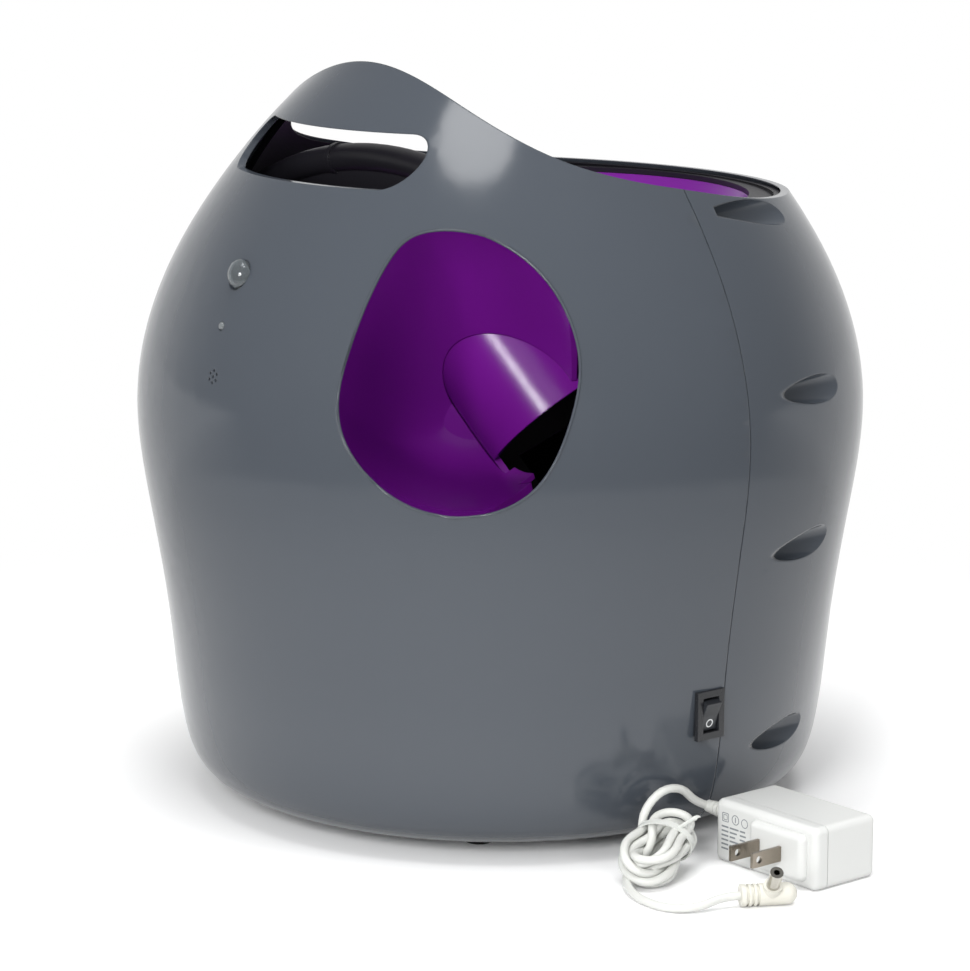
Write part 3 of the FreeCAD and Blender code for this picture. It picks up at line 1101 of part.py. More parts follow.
def lead_pieces():
    keep("lead_from_adapter", bar_along(LEAD_OUT, LEAD_D / 2, "lead_from_adapter"))
    keep("lead_to_plug", bar_along(LEAD_END, LEAD_D / 2, "lead_to_plug"))
    along = (HANK_HIGH - HANK_LOW).normalize()
    across = Z.cross(along).normalize()
    normal = along.cross(across)
    length = (HANK_HIGH - HANK_LOW).Length + HANK_THICK
    solid = Part.makeBox(length, HANK_WIDTH, HANK_THICK)
    solid = solid.makeFillet(HANK_THICK * 0.45, solid.Edges)
    origin = HANK_LOW - along * (HANK_THICK / 2) - across * (HANK_WIDTH / 2) - normal * (HANK_THICK / 2)
    matrix = FreeCAD.Matrix(along.x, across.x, normal.x, origin.x, along.y, across.y, normal.y, origin.y,
                            along.z, across.z, normal.z, origin.z, 0, 0, 0, 1)
    solid.Placement = FreeCAD.Placement(matrix)
    tie = Part.makeBox(TIE_WIDTH, HANK_WIDTH + 2 * TIE_THICK, HANK_THICK + 2 * TIE_THICK,
                       V(length * 0.62, -TIE_THICK, -TIE_THICK))
    tie = tie.makeFillet(HANK_THICK * 0.45, [e for e in tie.Edges
                                            if abs(e.Length - TIE_WIDTH) < 0.01])
    tie.Placement = FreeCAD.Placement(matrix)
    leads = [PARTS["lead_from_adapter"], PARTS["lead_to_plug"]]
    keep("hank_tie", tie.cut([solid] + leads))
    keep("lead_hank", solid.cut(leads))


def dc_plug():
    towards = V(PLUG_TOWARDS.x, PLUG_TOWARDS.y, 0).normalize()
    body = cyl(PLUG_R, PLUG_LENGTH, PLUG_START, towards)
    end = PLUG_START + towards * PLUG_LENGTH
    body = body.fuse(Part.makeSphere(PLUG_R, end))
    grooves = [ring(8.0, PLUG_R - 0.7, 1.0, PLUG_START + towards * (2.0 + 2.2 * k), towards) for k in range(3)]
    corner = PLUG_START + towards * (PLUG_LENGTH * 0.66)
    side = towards.cross(Z)
    tilt = math.radians(BARREL_TILT)
    out = side * math.cos(tilt) + Z * math.sin(tilt)
    collar = cyl(3.8, PLUG_R + 2.0, corner, out)
    body = body.cut(grooves).fuse(collar)
    keep("dc_plug", body.cut(cyl(BARREL_ROOT_R, 20, corner + out, out)))
    face = corner + out * (PLUG_R + 2.0)
    barrel = cyl(BARREL_ROOT_R, PLUG_R + 1.0, corner + out, out)
    barrel = barrel.fuse(cyl(BARREL_R, BARREL_LENGTH, face, out))
    barrel = barrel.cut(cyl(1.25, 30, face + out * 0.5, out))
    keep("dc_plug_barrel", barrel)
    print("dc plug barrel from", face, "towards", out)


def main():
    housing_shells()
    shell_screws()
    sensor_pieces()
    control_board()
    power_switch()
    distance_dial()
    power_jack()
    hopper()
    launch_cavity()
    launch_pocket()
    launch_cradle()
    lever_pieces()
    hammer_pieces()
    cradle_stand()
    base_pieces()
    battery_pieces()
    adapter()
    strain_relief()
    lead_pieces()
    dc_plug()
    os.makedirs("parts", exist_ok=True)
    for name, shape in PARTS.items():
        shape.exportStep("parts/" + name + ".step")
        solids = shape.Solids
        print(name, len(solids), "solids", round(shape.Volume / 1000, 2), "cm3",
              "valid" if shape.isValid() else "INVALID")


main()
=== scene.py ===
"""Automatic dog ball launcher with its power adapter, dressed for rendering.

Metres, in the same frame as the solids: +Z up, the floor at 0, -Y the front.
"""
import bmesh
import bpy
import math
import numpy as np
from mathutils import Matrix, Vector
from mathutils.bvhtree import BVHTree


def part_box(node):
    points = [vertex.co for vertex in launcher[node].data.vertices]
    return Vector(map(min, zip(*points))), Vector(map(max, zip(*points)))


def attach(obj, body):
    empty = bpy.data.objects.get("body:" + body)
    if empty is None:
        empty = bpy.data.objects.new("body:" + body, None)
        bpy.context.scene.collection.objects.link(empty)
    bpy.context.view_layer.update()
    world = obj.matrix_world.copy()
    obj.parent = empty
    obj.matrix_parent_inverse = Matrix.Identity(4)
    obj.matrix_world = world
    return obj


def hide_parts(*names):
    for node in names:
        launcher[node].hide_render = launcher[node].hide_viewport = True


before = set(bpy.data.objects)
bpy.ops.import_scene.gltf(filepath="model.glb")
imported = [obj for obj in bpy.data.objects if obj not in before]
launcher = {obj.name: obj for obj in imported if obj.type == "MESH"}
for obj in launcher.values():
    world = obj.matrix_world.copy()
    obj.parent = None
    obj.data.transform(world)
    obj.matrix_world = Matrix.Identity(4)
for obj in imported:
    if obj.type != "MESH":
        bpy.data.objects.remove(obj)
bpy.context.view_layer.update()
scene = bpy.context.scene
scene.view_settings.view_transform = "Standard"
MM = 0.001


# ---------------------------------------------------------------- studio floor and daylight
# A white seamless sheet under the launcher and an even white room round it.
# The sheet is matt paper: it keeps the soft shadow and fades to plain white further out.
def linear(hex_colour):
    """A colour written as sRGB hex, as the linear value that the shaders take."""
    parts = [int(hex_colour[k:k + 2], 16) / 255 for k in (1, 3, 5)]
    return (*[p / 12.92 if p <= 0.04045 else ((p + 0.055) / 1.055) ** 2.4 for p in parts], 1.0)


def add(tree, kind, inputs=None, **settings):
    """Add a node: settings are its properties, inputs its sockets' values or what is linked to them."""
    made = tree.nodes.new(kind)
    for key, value in settings.items():
        setattr(made, key, value)
    for key, value in (inputs or {}).items():
        if isinstance(value, bpy.types.NodeSocket):
            tree.links.new(value, made.inputs[key])
        else:
            made.inputs[key].default_value = value
    return made


def new_material(name):
    material = bpy.data.materials.new(name)
    material.use_nodes = True
    material.node_tree.nodes.clear()
    return material, material.node_tree


def show_rays(tree):
    """1 for rays that show the background: straight to the eye, in gloss and through clear plastic."""
    path = add(tree, "ShaderNodeLightPath")
    some = add(tree, "ShaderNodeMath", {0: path.outputs["Is Camera Ray"], 1: path.outputs["Is Glossy Ray"]},
               operation="MAXIMUM")
    return add(tree, "ShaderNodeMath", {0: some.outputs[0], 1: path.outputs["Is Transmission Ray"]},
               operation="MAXIMUM").outputs[0]


FLOOR_HALF = 6.0
ROOM_DIM = 0.30                         # brightness of the room behind the camera, seen in gloss
PAPER_NEAR, PAPER_FAR = 0.15, 0.52      # where the sheet fades to plain white, from the middle
SHEET_EDGE = 0.62                       # in gloss, the sheet ends here and the dim room begins
BACKDROP = Vector((-0.7687, 0.6396, 0))  # level direction from the camera to the white backdrop

paper, tree = new_material("Seamless paper, matt white")
place = add(tree, "ShaderNodeTexCoord")
flat = add(tree, "ShaderNodeVectorMath", {0: place.outputs["Object"]}, operation="LENGTH")
fade = add(tree, "ShaderNodeMapRange", {"Value": flat.outputs["Value"], "From Min": PAPER_NEAR,
                                        "From Max": PAPER_FAR}, interpolation_type="SMOOTHSTEP")
fibre = add(tree, "ShaderNodeTexNoise", {"Vector": place.outputs["Object"], "Scale": 900.0})
shown = show_rays(tree)
tone = add(tree, "ShaderNodeMix", {"Factor": shown, "A": 0.72, "B": 1.10}, data_type="FLOAT")
sheet_colour = add(tree, "ShaderNodeCombineColor", {"Red": tone.outputs[0], "Green": tone.outputs[0],
                                                    "Blue": tone.outputs[0]})
grain = add(tree, "ShaderNodeBump", {"Height": fibre.outputs["Fac"], "Strength": 0.05, "Distance": 0.0002})
matt = add(tree, "ShaderNodeBsdfDiffuse", {"Color": sheet_colour.outputs[0], "Normal": grain.outputs[0]})
# Gloss that faces the camera's side shows the sheet out to its edge and a dim room past it.
sheet_edge = add(tree, "ShaderNodeMapRange", {"Value": flat.outputs["Value"], "From Min": SHEET_EDGE - 0.03,
                                              "From Max": SHEET_EDGE + 0.03, "To Min": 0.78,
                                              "To Max": ROOM_DIM})
behind = add(tree, "ShaderNodeVectorMath", {0: place.outputs["Object"], 1: BACKDROP}, operation="DOT_PRODUCT")
backdrop = add(tree, "ShaderNodeMapRange", {"Value": behind.outputs["Value"], "From Min": -0.2,
                                            "From Max": 0.3, "To Min": ROOM_DIM, "To Max": 0.9})
in_gloss = add(tree, "ShaderNodeMath", {0: sheet_edge.outputs[0], 1: backdrop.outputs[0]},
               operation="MAXIMUM")
seen = add(tree, "ShaderNodeLightPath")
strength = add(tree, "ShaderNodeMix", {"Factor": seen.outputs["Is Glossy Ray"], "A": 1.0,
                                       "B": in_gloss.outputs[0]}, data_type="FLOAT")
bright = add(tree, "ShaderNodeEmission", {"Color": (1, 1, 1, 1), "Strength": strength.outputs[0]})
dim = add(tree, "ShaderNodeBsdfDiffuse", {"Color": (0.72, 0.72, 0.72, 1)})
outer = add(tree, "ShaderNodeMixShader", {0: shown, 1: dim.outputs[0], 2: bright.outputs[0]})
both = add(tree, "ShaderNodeMixShader", {0: fade.outputs[0], 1: matt.outputs[0], 2: outer.outputs[0]})
add(tree, "ShaderNodeOutputMaterial", {"Surface": both.outputs[0]})

floor_mesh = bpy.data.meshes.new("studio_floor")
floor_mesh.from_pydata([(-FLOOR_HALF, -FLOOR_HALF, 0), (FLOOR_HALF, -FLOOR_HALF, 0),
                        (FLOOR_HALF, FLOOR_HALF, 0), (-FLOOR_HALF, FLOOR_HALF, 0)], [], [(0, 1, 2, 3)])
floor = bpy.data.objects.new("studio_floor", floor_mesh)
scene.collection.objects.link(floor)
floor.data.materials.append(paper)

room = bpy.data.worlds.new("White room")
scene.world = room
room.use_nodes = True
tree = room.node_tree
tree.nodes.clear()
# The eye sees plain white. Gloss sees a white backdrop behind the launcher, a dim room behind the
# camera and a dimmer ceiling; the soft daylight that falls on matt surfaces is weaker still.
around = add(tree, "ShaderNodeTexCoord")
height = add(tree, "ShaderNodeSeparateXYZ", {0: around.outputs["Generated"]})
overhead = add(tree, "ShaderNodeMapRange", {"Value": height.outputs["Z"], "From Min": 0.05, "From Max": 0.6,
                                            "To Min": 0.85, "To Max": 0.40}, interpolation_type="SMOOTHSTEP")
behind = add(tree, "ShaderNodeVectorMath", {0: around.outputs["Generated"], 1: BACKDROP},
             operation="DOT_PRODUCT")
side = add(tree, "ShaderNodeMapRange", {"Value": behind.outputs["Value"], "From Min": 0.15, "From Max": 0.8},
           interpolation_type="SMOOTHSTEP")
mirrored = add(tree, "ShaderNodeMix", {"Factor": side.outputs[0], "A": ROOM_DIM, "B": overhead.outputs[0]},
               data_type="FLOAT")
eye = add(tree, "ShaderNodeLightPath")
daylight = add(tree, "ShaderNodeMix", {"Factor": eye.outputs["Is Glossy Ray"], "A": 0.42,
                                       "B": mirrored.outputs[0]}, data_type="FLOAT")
level = add(tree, "ShaderNodeMix", {"Factor": eye.outputs["Is Camera Ray"], "A": daylight.outputs[0],
                                    "B": 1.0}, data_type="FLOAT")
sky = add(tree, "ShaderNodeBackground", {"Color": (1, 1, 1, 1), "Strength": level.outputs[0]})
add(tree, "ShaderNodeOutputWorld", {"Surface": sky.outputs[0]})


# ---------------------------------------------------------------- softboxes and camera
# The key lamp stands high behind the camera and reaches into the launch opening; weaker ones
# fill from the left, the right and above. Two small lamps show in gloss: a strip in
# front draws the streak along the feed tube, and one overhead the glint on the handle.
def softbox(name, place, aim, width, tall, watts, in_gloss=False):
    lamp = bpy.data.lights.new(name, "AREA")
    lamp.shape = "ELLIPSE" if in_gloss else "RECTANGLE"
    lamp.size, lamp.size_y, lamp.energy = width, tall, watts
    stand = bpy.data.objects.new(name, lamp)
    stand.location = place
    stand.rotation_euler = (Vector(aim) - Vector(place)).to_track_quat("-Z", "Y").to_euler()
    stand.visible_glossy = in_gloss
    scene.collection.objects.link(stand)


softbox("Key softbox", (0.95, -1.30, 0.80), (0.06, -0.05, 0.18), 0.45, 0.45, 14.0)
softbox("Left softbox", (-0.3, -2.0, 1.0), (0, 0, 0.15), 0.9, 0.9, 6.5)
softbox("Right softbox", (1.75, 0.75, 0.75), (0, 0, 0.16), 0.6, 1.1, 2.0)
softbox("Side softbox", (1.45, -0.55, 0.42), (0.06, -0.06, 0.2), 0.3, 0.3, 3.5)
softbox("Overhead softbox", (0.2, 0.1, 1.7), (0.05, -0.03, 0.15), 1.1, 1.1, 15.0)
softbox("Front strip", (0.66, -1.72, 0.46), (0.05, -0.03, 0.19), 0.22, 0.40, 7.0, in_gloss=True)
softbox("Handle lamp", (0.12, -0.34, 1.7), (0.07, -0.07, 0.3), 0.62, 0.56, 5.0, in_gloss=True)

CAMERA_PLACE = Vector((1.2257, -1.0285, 0.4685))
CAMERA_AHEAD = Vector((-0.75249, 0.62608, -0.20440))
CAMERA_RIGHT = Vector((0.63958, 0.76872, 0.0))
camera_data = bpy.data.cameras.new("Camera")
camera_data.sensor_fit = "HORIZONTAL"
camera_data.sensor_width = 36.0
camera_data.lens = 36.0 * 3650.0 / 970.0
camera_data.clip_start = 0.05
camera = bpy.data.objects.new("Camera", camera_data)
upward = CAMERA_RIGHT.cross(CAMERA_AHEAD)
turn = Matrix((CAMERA_RIGHT, upward, -CAMERA_AHEAD)).transposed().to_4x4()
camera.matrix_world = Matrix.Translation(CAMERA_PLACE) @ turn
scene.collection.objects.link(camera)
scene.camera = camera


# ---------------------------------------------------------------- adapter lead
# Two-core low-voltage lead in soft white PVC, 3.6 mm thick. It leaves the adapter's strain relief,
# is wound into a short hank held by a tie, and its free end runs along the floor to the plug.
def plastic(name, colour, rough, grain, depth, shade=0.05, ior=1.5, edge=0.0, settings=None):
    """Moulded plastic: faint shade differences, a fine mould texture and softly rounded edges."""
    material, tree = new_material(name)
    place = add(tree, "ShaderNodeTexCoord").outputs["Object"]
    cloudy = add(tree, "ShaderNodeTexNoise", {"Vector": place, "Scale": 1 / 0.06, "Detail": 3.0})
    base = linear(colour)
    dark = tuple(c * (1 - shade) for c in base[:3]) + (1,)
    light = tuple(min(1.0, c * (1 + shade)) for c in base[:3]) + (1,)
    tint = add(tree, "ShaderNodeMix", {"Factor": cloudy.outputs["Fac"], 6: dark, 7: light}, data_type="RGBA")
    fine = add(tree, "ShaderNodeTexNoise", {"Vector": place, "Scale": 1 / grain, "Detail": 4.0,
                                            "Roughness": 0.6})
    dull = add(tree, "ShaderNodeMapRange", {"Value": fine.outputs["Fac"], "From Min": 0.25, "From Max": 0.75,
                                            "To Min": rough * 0.88, "To Max": rough * 1.14})
    bump_inputs = {"Height": fine.outputs["Fac"], "Strength": 1.0, "Distance": depth}
    if edge:
        bump_inputs["Normal"] = add(tree, "ShaderNodeBevel", {"Radius": edge}, samples=4).outputs[0]
    bump = add(tree, "ShaderNodeBump", bump_inputs)
    inputs = {"Base Color": tint.outputs[2], "Roughness": dull.outputs[0], "IOR": ior,
              "Normal": bump.outputs[0]}
    inputs.update(settings or {})
    skin = add(tree, "ShaderNodeBsdfPrincipled", inputs)
    add(tree, "ShaderNodeOutputMaterial", {"Surface": skin.outputs[0]})
    return material


def finish_node(name, material):
    """Give a solid its finish."""
    node = launcher[name]
    node.data.materials.clear()
    node.data.materials.append(material)
    return node


LEAD_D = 3.6 * MM
# Soft PVC has a slight waxy gloss and picks up faint grey where it is bent.
lead_pvc = plastic("PVC lead sheath, extruded white", "#d3d4d0", 0.38, 0.0016, 0.00003, shade=0.06,
                   settings={"Subsurface Weight": 0.10, "Subsurface Radius": (0.002, 0.002, 0.0018),
                             "Subsurface Scale": 0.5})

lead_out = [(143.6, -5, 19.5), (143.2, -12.5, 22.5), (145.8, -22.5, 31.5),
            (146.6, -35, 33), (144.6, -43, 25), (144.6, -44, 16)]
lead_end = [(152, -58, 5), (163, -69.5, 2.6), (178, -76, 1.9), (194.5, -76, 1.9),
            (203.5, -66, 2.4), (204.1, -53.4, 4.8), (207.7, -47.4, 4.8)]

HANK_LOW, HANK_HIGH = Vector((165, -62, 8.6)), Vector((153, -35, 16.6))
HANK_WIDTH, HANK_THICK = 24.0, 16.0
HANK_TURNS = 6
hank_along = (HANK_HIGH - HANK_LOW).normalized()
hank_across = Vector((0, 0, 1)).cross(hank_along).normalized()
hank_up = hank_along.cross(hank_across)
hank_start = HANK_LOW - hank_along * HANK_THICK / 2
hank_long = (HANK_HIGH - HANK_LOW).length + HANK_THICK
TIE_AT = 0.62 * hank_long + 1.5
TIE_HALF = (10.6, 7.4)              # the bundle's half width and half thickness inside the tie
BULGE = 2.0                         # the turns may stand out this far past the bundle's sides
TIGHTEST = 9.5                      # radius that the turns are bent to at most
POINT_GAP = 2.6                     # distance between the route points on the turns
STRAND_ROOM = 0.4                   # room kept between strands that lie on each other
SETTLING_ROUNDS, SMOOTHING_ROUNDS = 500, 5


def in_hank(point):
    """A point of the frame as along, across and up through the hank."""
    far = Vector(point) - hank_start
    return np.array([far.dot(hank_along), far.dot(hank_across), far.dot(hank_up)])


def wound_hank():
    """Centreline of the wound turns: along, across and up through the hank, in millimetres.

    The turns are laid as long loops of differing size and slant, and are then pushed apart until
    the strands lie beside and on each other, while the tie draws them together.
    """
    inside, step, bend = LEAD_D / MM / 2, POINT_GAP, TIGHTEST
    first, last = in_hank(lead_out[-1]), in_hank(lead_end[0])
    turn = np.linspace(-0.03, HANK_TURNS + 0.05, HANK_TURNS * 60)
    angle = 2 * np.pi * turn
    wide = 11.4 * (0.9 - 0.1 * np.cos(np.pi * turn))
    reach = hank_long / 2 - inside - 0.3 - 3.0 * (1 + np.cos(2 * np.pi * turn / 2.6 + 1.0))
    slant = 0.8 * np.sin(2 * np.pi * turn / 2.7)
    side = wide * np.sign(np.cos(angle)) * np.abs(np.cos(angle)) ** 0.7
    layer = 5.2 * (2 * turn / HANK_TURNS - 1)
    laid = np.stack([hank_long / 2 - reach * np.sin(angle), side * np.cos(slant),
                     0.6 * side * np.sin(slant) + layer], 1)
    laid = np.vstack([first, [[29.5, 10.2, -5.0]], laid[6:], last])
    run = np.concatenate([[0], np.cumsum(np.linalg.norm(np.diff(laid, axis=0), axis=1))])
    count = int(round(run[-1] / step)) + 1
    even = np.linspace(0, run[-1], count)
    line = np.stack([np.interp(even, run, laid[:, axis]) for axis in range(3)], 1)
    step = even[1]
    coming, going = first - in_hank(lead_out[-2]), in_hank(lead_end[1]) - last
    coming, going = coming / np.linalg.norm(coming), going / np.linalg.norm(going)
    before = np.array([first - coming * step * k for k in (2, 1)])
    after = np.array([last + going * step * k for k in (1, 2)])
    low = np.array([inside, inside - HANK_WIDTH / 2 - BULGE, inside - HANK_THICK / 2])
    high = np.array([hank_long - inside, HANK_WIDTH / 2 - inside + BULGE, HANK_THICK / 2 - inside])
    one, other = np.triu_indices(count, 4)
    apart = 2 * inside + STRAND_ROOM
    for _ in range(SETTLING_ROUNDS):
        gap = line[one] - line[other]
        near = (gap * gap).sum(1) < apart ** 2
        far = np.linalg.norm(gap[near], axis=1)
        push = gap[near] * ((apart - far) * 0.25 / np.maximum(far, 0.05))[:, None]
        np.add.at(line, one[near], push)
        np.add.at(line, other[near], -push)
        whole = np.vstack([before, line, after])
        for lag, share in ((1, 0.3), (2, 0.45), (3, 0.3), (4, 0.3), (6, 0.25), (8, 0.2)):
            want = step if lag == 1 else 2 * bend * math.sin(lag * step / 2 / bend)
            gap = whole[lag:] - whole[:-lag]
            far = np.linalg.norm(gap, axis=1)
            short = want - far if lag == 1 else np.maximum(want - far, 0)
            fix = gap * (short * share / np.maximum(far, 0.05))[:, None]
            whole[lag:] += fix
            whole[:-lag] -= fix
        line = whole[2:-2]
        out = np.hypot(line[:, 1] / TIE_HALF[0], line[:, 2] / TIE_HALF[1])
        held = 0.4 * np.exp(-((line[:, 0] - TIE_AT) / 3.0) ** 2)
        line[:, 1:] *= np.where(out > 1, 1 - held * (1 - 1 / np.maximum(out, 1)), 1.0)[:, None]
        line[3:-3] = np.clip(line[3:-3], low, high)
        line[0], line[-1] = first, last
    for _ in range(SMOOTHING_ROUNDS):
        line[1:-1] += 0.25 * (line[2:] + line[:-2] - 2 * line[1:-1])
    # The first and last points are thinned out, so that the spacing grows towards the free runs.
    thinned = {0, 1, 2, 4, count - 1, count - 2, count - 3, count - 4, count - 6}
    return line[[k for k in range(count) if k not in thinned]]


wound = wound_hank()
turns = [hank_start + hank_along * a + hank_across * b + hank_up * c for a, b, c in wound.tolist()]
route = [Vector(p) for p in lead_out] + turns + [Vector(p) for p in lead_end]
lead_curve = bpy.data.curves.new("adapter_lead", "CURVE")
lead_curve.dimensions = "3D"
lead_spline = lead_curve.splines.new("NURBS")
lead_spline.points.add(len(route) - 1)
for spot, point in zip(lead_spline.points, route):
    spot.co = (*(point * MM), 1.0)
lead_spline.order_u = 3
lead_spline.use_endpoint_u = True
lead_spline.resolution_u = 4
lead_curve.bevel_depth = LEAD_D / 2
lead_curve.bevel_resolution = 5
lead_curve.use_fill_caps = True
lead = bpy.data.objects.new("adapter_lead", lead_curve)
scene.collection.objects.link(lead)
lead_curve.materials.append(lead_pvc)
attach(lead, "adapter")
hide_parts("lead_from_adapter", "lead_to_plug", "lead_hank")

# A copy of the lead's curve without its thickness, turned into a mesh and removed again.
bare = lead_curve.copy()
bare.bevel_depth = 0.0
bare_object = bpy.data.objects.new("lead_line", bare)
scene.collection.objects.link(bare_object)
line_mesh = bpy.data.meshes.new_from_object(bare_object.evaluated_get(bpy.context.evaluated_depsgraph_get()))
bpy.data.objects.remove(bare_object)
bpy.data.meshes.remove(line_mesh)
bpy.data.curves.remove(bare)


# ---------------------------------------------------------------- tie of the hank
# Flat band of soft white PVC drawn once round the turns, its two ends twisted together.
tie_pvc = plastic("PVC tie band, milky white", "#cfd1cd", 0.35, 0.0009, 0.00002, shade=0.05)


def solid_mesh(name, points, faces, material):
    """A closed piece from its corners in metres, with its faces turned outwards."""
    mesh = bpy.data.meshes.new(name)
    mesh.from_pydata([tuple(p) for p in points], [], faces)
    shape = bmesh.new()
    shape.from_mesh(mesh)
    bmesh.ops.remove_doubles(shape, verts=shape.verts, dist=1e-7)
    bmesh.ops.recalc_face_normals(shape, faces=shape.faces)
    shape.to_mesh(mesh)
    shape.free()
    mesh.materials.append(material)
    piece = bpy.data.objects.new(name, mesh)
    scene.collection.objects.link(piece)
    return piece


def swept(sections, closed):
    """Faces of a bar whose sections have as many corners each; open bars get end faces."""
    around, count = len(sections[0]), len(sections)
    faces = []
    for k in range(count if closed else count - 1):
        here, there = k * around, (k + 1) % count * around
        for c in range(around):
            d = (c + 1) % around
            faces.append((here + c, here + d, there + d, there + c))
    if not closed:
        faces.append(tuple(range(around)))
        faces.append(tuple(range((count - 1) * around, count * around)))
    return [p for section in sections for p in section], faces


BAND_WIDE, BAND_THICK = 3.0, 0.7
near_tie = wound[np.abs(wound[:, 0] - TIE_AT) < 2.5]
fullness = float(np.hypot(near_tie[:, 1] / TIE_HALF[0], near_tie[:, 2] / TIE_HALF[1]).max())
lead_r = LEAD_D / MM / 2
band_half = [min(half * fullness + lead_r, edge) for half, edge in zip(TIE_HALF, (12.6, 8.8))]
band = []
for k in range(72):
    a = 2 * math.pi * k / 72
    ring = []
    for out, far in ((0.0, -0.5), (0.0, 0.5), (BAND_THICK, 0.5), (BAND_THICK, -0.5)):
        across, high = (band_half[0] + out) * math.cos(a), (band_half[1] + out) * math.sin(a)
        spot = hank_start + hank_along * (TIE_AT + far * BAND_WIDE) + hank_across * across + hank_up * high
        ring.append(spot * MM)
    band.append(ring)
tie = solid_mesh("hank_tie_band", *swept(band, True), tie_pvc)
tail = []
tail_root = (hank_start + hank_along * TIE_AT - hank_across * band_half[0] * 0.6
             + hank_up * band_half[1] * 0.82)
for k in range(25):
    a, spot = math.pi * k / 6, tail_root + (hank_along * 0.3 - hank_across * 0.25 + hank_up * 0.1) * k
    turned = hank_across * math.cos(a) + hank_up * math.sin(a)
    other = hank_along.cross(turned)
    corners = ((-1, -0.35), (1, -0.35), (1, 0.35), (-1, 0.35))
    tail.append([(spot + turned * u + other * w) * MM for u, w in corners])
tail_piece = solid_mesh("hank_tie_twist", *swept(tail, False), tie_pvc)
for piece in (tie, tail_piece):
    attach(piece, "adapter")
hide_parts("hank_tie")


# ---------------------------------------------------------------- housing halves
# Egg-shaped dome with the carrying handle, moulded in two halves of glossy grey ABS and
# screwed together from the rear. Polished moulds leave only a trace of waviness.
housing_abs = plastic("ABS, polished moulding, slate grey", "#42474e", 0.13, 0.0035, 0.000012, shade=0.02,
                      ior=1.53, edge=0.0009)
finish_node("front_shell", housing_abs)
finish_node("rear_shell", housing_abs)


def edge_loop(node, chosen, across, high, spots):
    """A solid's outer edge round a hole: the outermost sharp edge in each of some directions.

    chosen picks the edge's surroundings; across and high give a point's place seen through the hole.
    A point that steps aside from its neighbours belongs to another edge and is left out.
    """
    shape = bmesh.new()
    shape.from_mesh(launcher[node].data)
    bmesh.ops.remove_doubles(shape, verts=shape.verts, dist=1e-6)
    found = {}
    for edge in shape.edges:
        if len(edge.link_faces) != 2 or edge.calc_face_angle(0.0) < 0.6:
            continue
        middle = (edge.verts[0].co + edge.verts[1].co) / 2
        if chosen(middle):
            way = int(math.atan2(high(middle), across(middle)) / (2 * math.pi) * spots)
            out = math.hypot(middle.x, middle.y)
            if way not in found or out > found[way][0]:
                found[way] = (out, middle)
    shape.free()
    line = [found[way][1] for way in sorted(found)]
    kept = []
    for k, point in enumerate(line):
        near = [line[(k + step) % len(line)] for step in range(-4, 5)]
        middle = Vector(sorted(p[axis] for p in near)[4] for axis in range(3))
        if (point - middle).length < 0.55 * (near[0] - near[-1]).length:
            kept.append(point)
    return kept


def edge_bead(name, points, radius, material):
    """A thin round bead along a hole's edge."""
    curve = bpy.data.curves.new(name, "CURVE")
    curve.dimensions = "3D"
    spline = curve.splines.new("POLY")
    spline.points.add(len(points) - 1)
    for _ in range(2):
        points = [(points[k - 1] + points[k] * 2 + points[(k + 1) % len(points)]) / 4
                  for k in range(len(points))]
    for spot, point in zip(spline.points, points):
        spot.co = (*point, 1.0)
    spline.use_cyclic_u = True
    curve.bevel_depth = radius
    curve.bevel_resolution = 3
    bead = bpy.data.objects.new(name, curve)
    scene.collection.objects.link(bead)
    curve.materials.append(material)
    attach(bead, "housing")
    return bead


# The launch opening faces 45 degrees to the right of the front.
OPENING_MIDDLE, OPENING_SIDE = Vector((0.09, -0.09, 0.21)), Vector((1, 1, 0)).normalized()
OPENING_REACH = 0.12


def near_opening(p):
    return (p.x > 0.04 and p.y < -0.02 and 0.15 < p.z < 0.27
            and (p - OPENING_MIDDLE).length < OPENING_REACH)


opening_edge = edge_loop("front_shell", near_opening,
                         lambda p: (p - OPENING_MIDDLE).dot(OPENING_SIDE),
                         lambda p: p.z - OPENING_MIDDLE.z, 150)
edge_bead("opening_lip", opening_edge, 0.00065, housing_abs)


# ---------------------------------------------------------------- ball path
# Hopper bowl, feed tube and launch cavity, moulded in purple polypropylene with a soft gloss.
ball_path_pp = plastic("Polypropylene, moulded purple", "#6f1688", 0.22, 0.0028, 0.00002, shade=0.03,
                       ior=1.49, edge=0.0007)
for name in ("hopper_bowl", "launch_cavity"):
    finish_node(name, ball_path_pp)

# The feed tube is purple outside; inside its bore the colour is painted near-black as painted shade, so that
# the mouth shows as a dark hole.
TUBE_MOUTH = Vector((0.045, 0.001, 0.175))
TUBE_AXIS = Vector((0.5978, 0.2538, -0.7604))
TUBE_BORE_R = 36.5 * MM
tube_pp_bore_shaded = ball_path_pp.copy()
tube_pp_bore_shaded.name = "Polypropylene, purple with a blackened bore"
tree = tube_pp_bore_shaded.node_tree
skin = next(node for node in tree.nodes if node.type == "BSDF_PRINCIPLED")
purple = skin.inputs["Base Color"].links[0].from_socket
place = add(tree, "ShaderNodeTexCoord").outputs["Object"]
from_mouth = add(tree, "ShaderNodeVectorMath", {0: place, 1: TUBE_MOUTH}, operation="SUBTRACT")
off_axis = add(tree, "ShaderNodeVectorMath", {0: from_mouth.outputs[0], 1: TUBE_AXIS},
               operation="CROSS_PRODUCT")
far = add(tree, "ShaderNodeVectorMath", {0: off_axis.outputs[0]}, operation="LENGTH")
# Painted shade: every point within the bore's radius of the tube's axis turns near-black.
bore_painted_shade = add(tree, "ShaderNodeMath", {0: far.outputs["Value"], 1: TUBE_BORE_R + 0.15 * MM},
           operation="LESS_THAN")
purple_and_painted_shade = add(tree, "ShaderNodeMix", {"Factor": bore_painted_shade.outputs[0], 6: purple, 7: linear("#0b0a0c")},
               data_type="RGBA")
tree.links.new(purple_and_painted_shade.outputs[2], skin.inputs["Base Color"])
finish_node("feed_tube", tube_pp_bore_shaded)
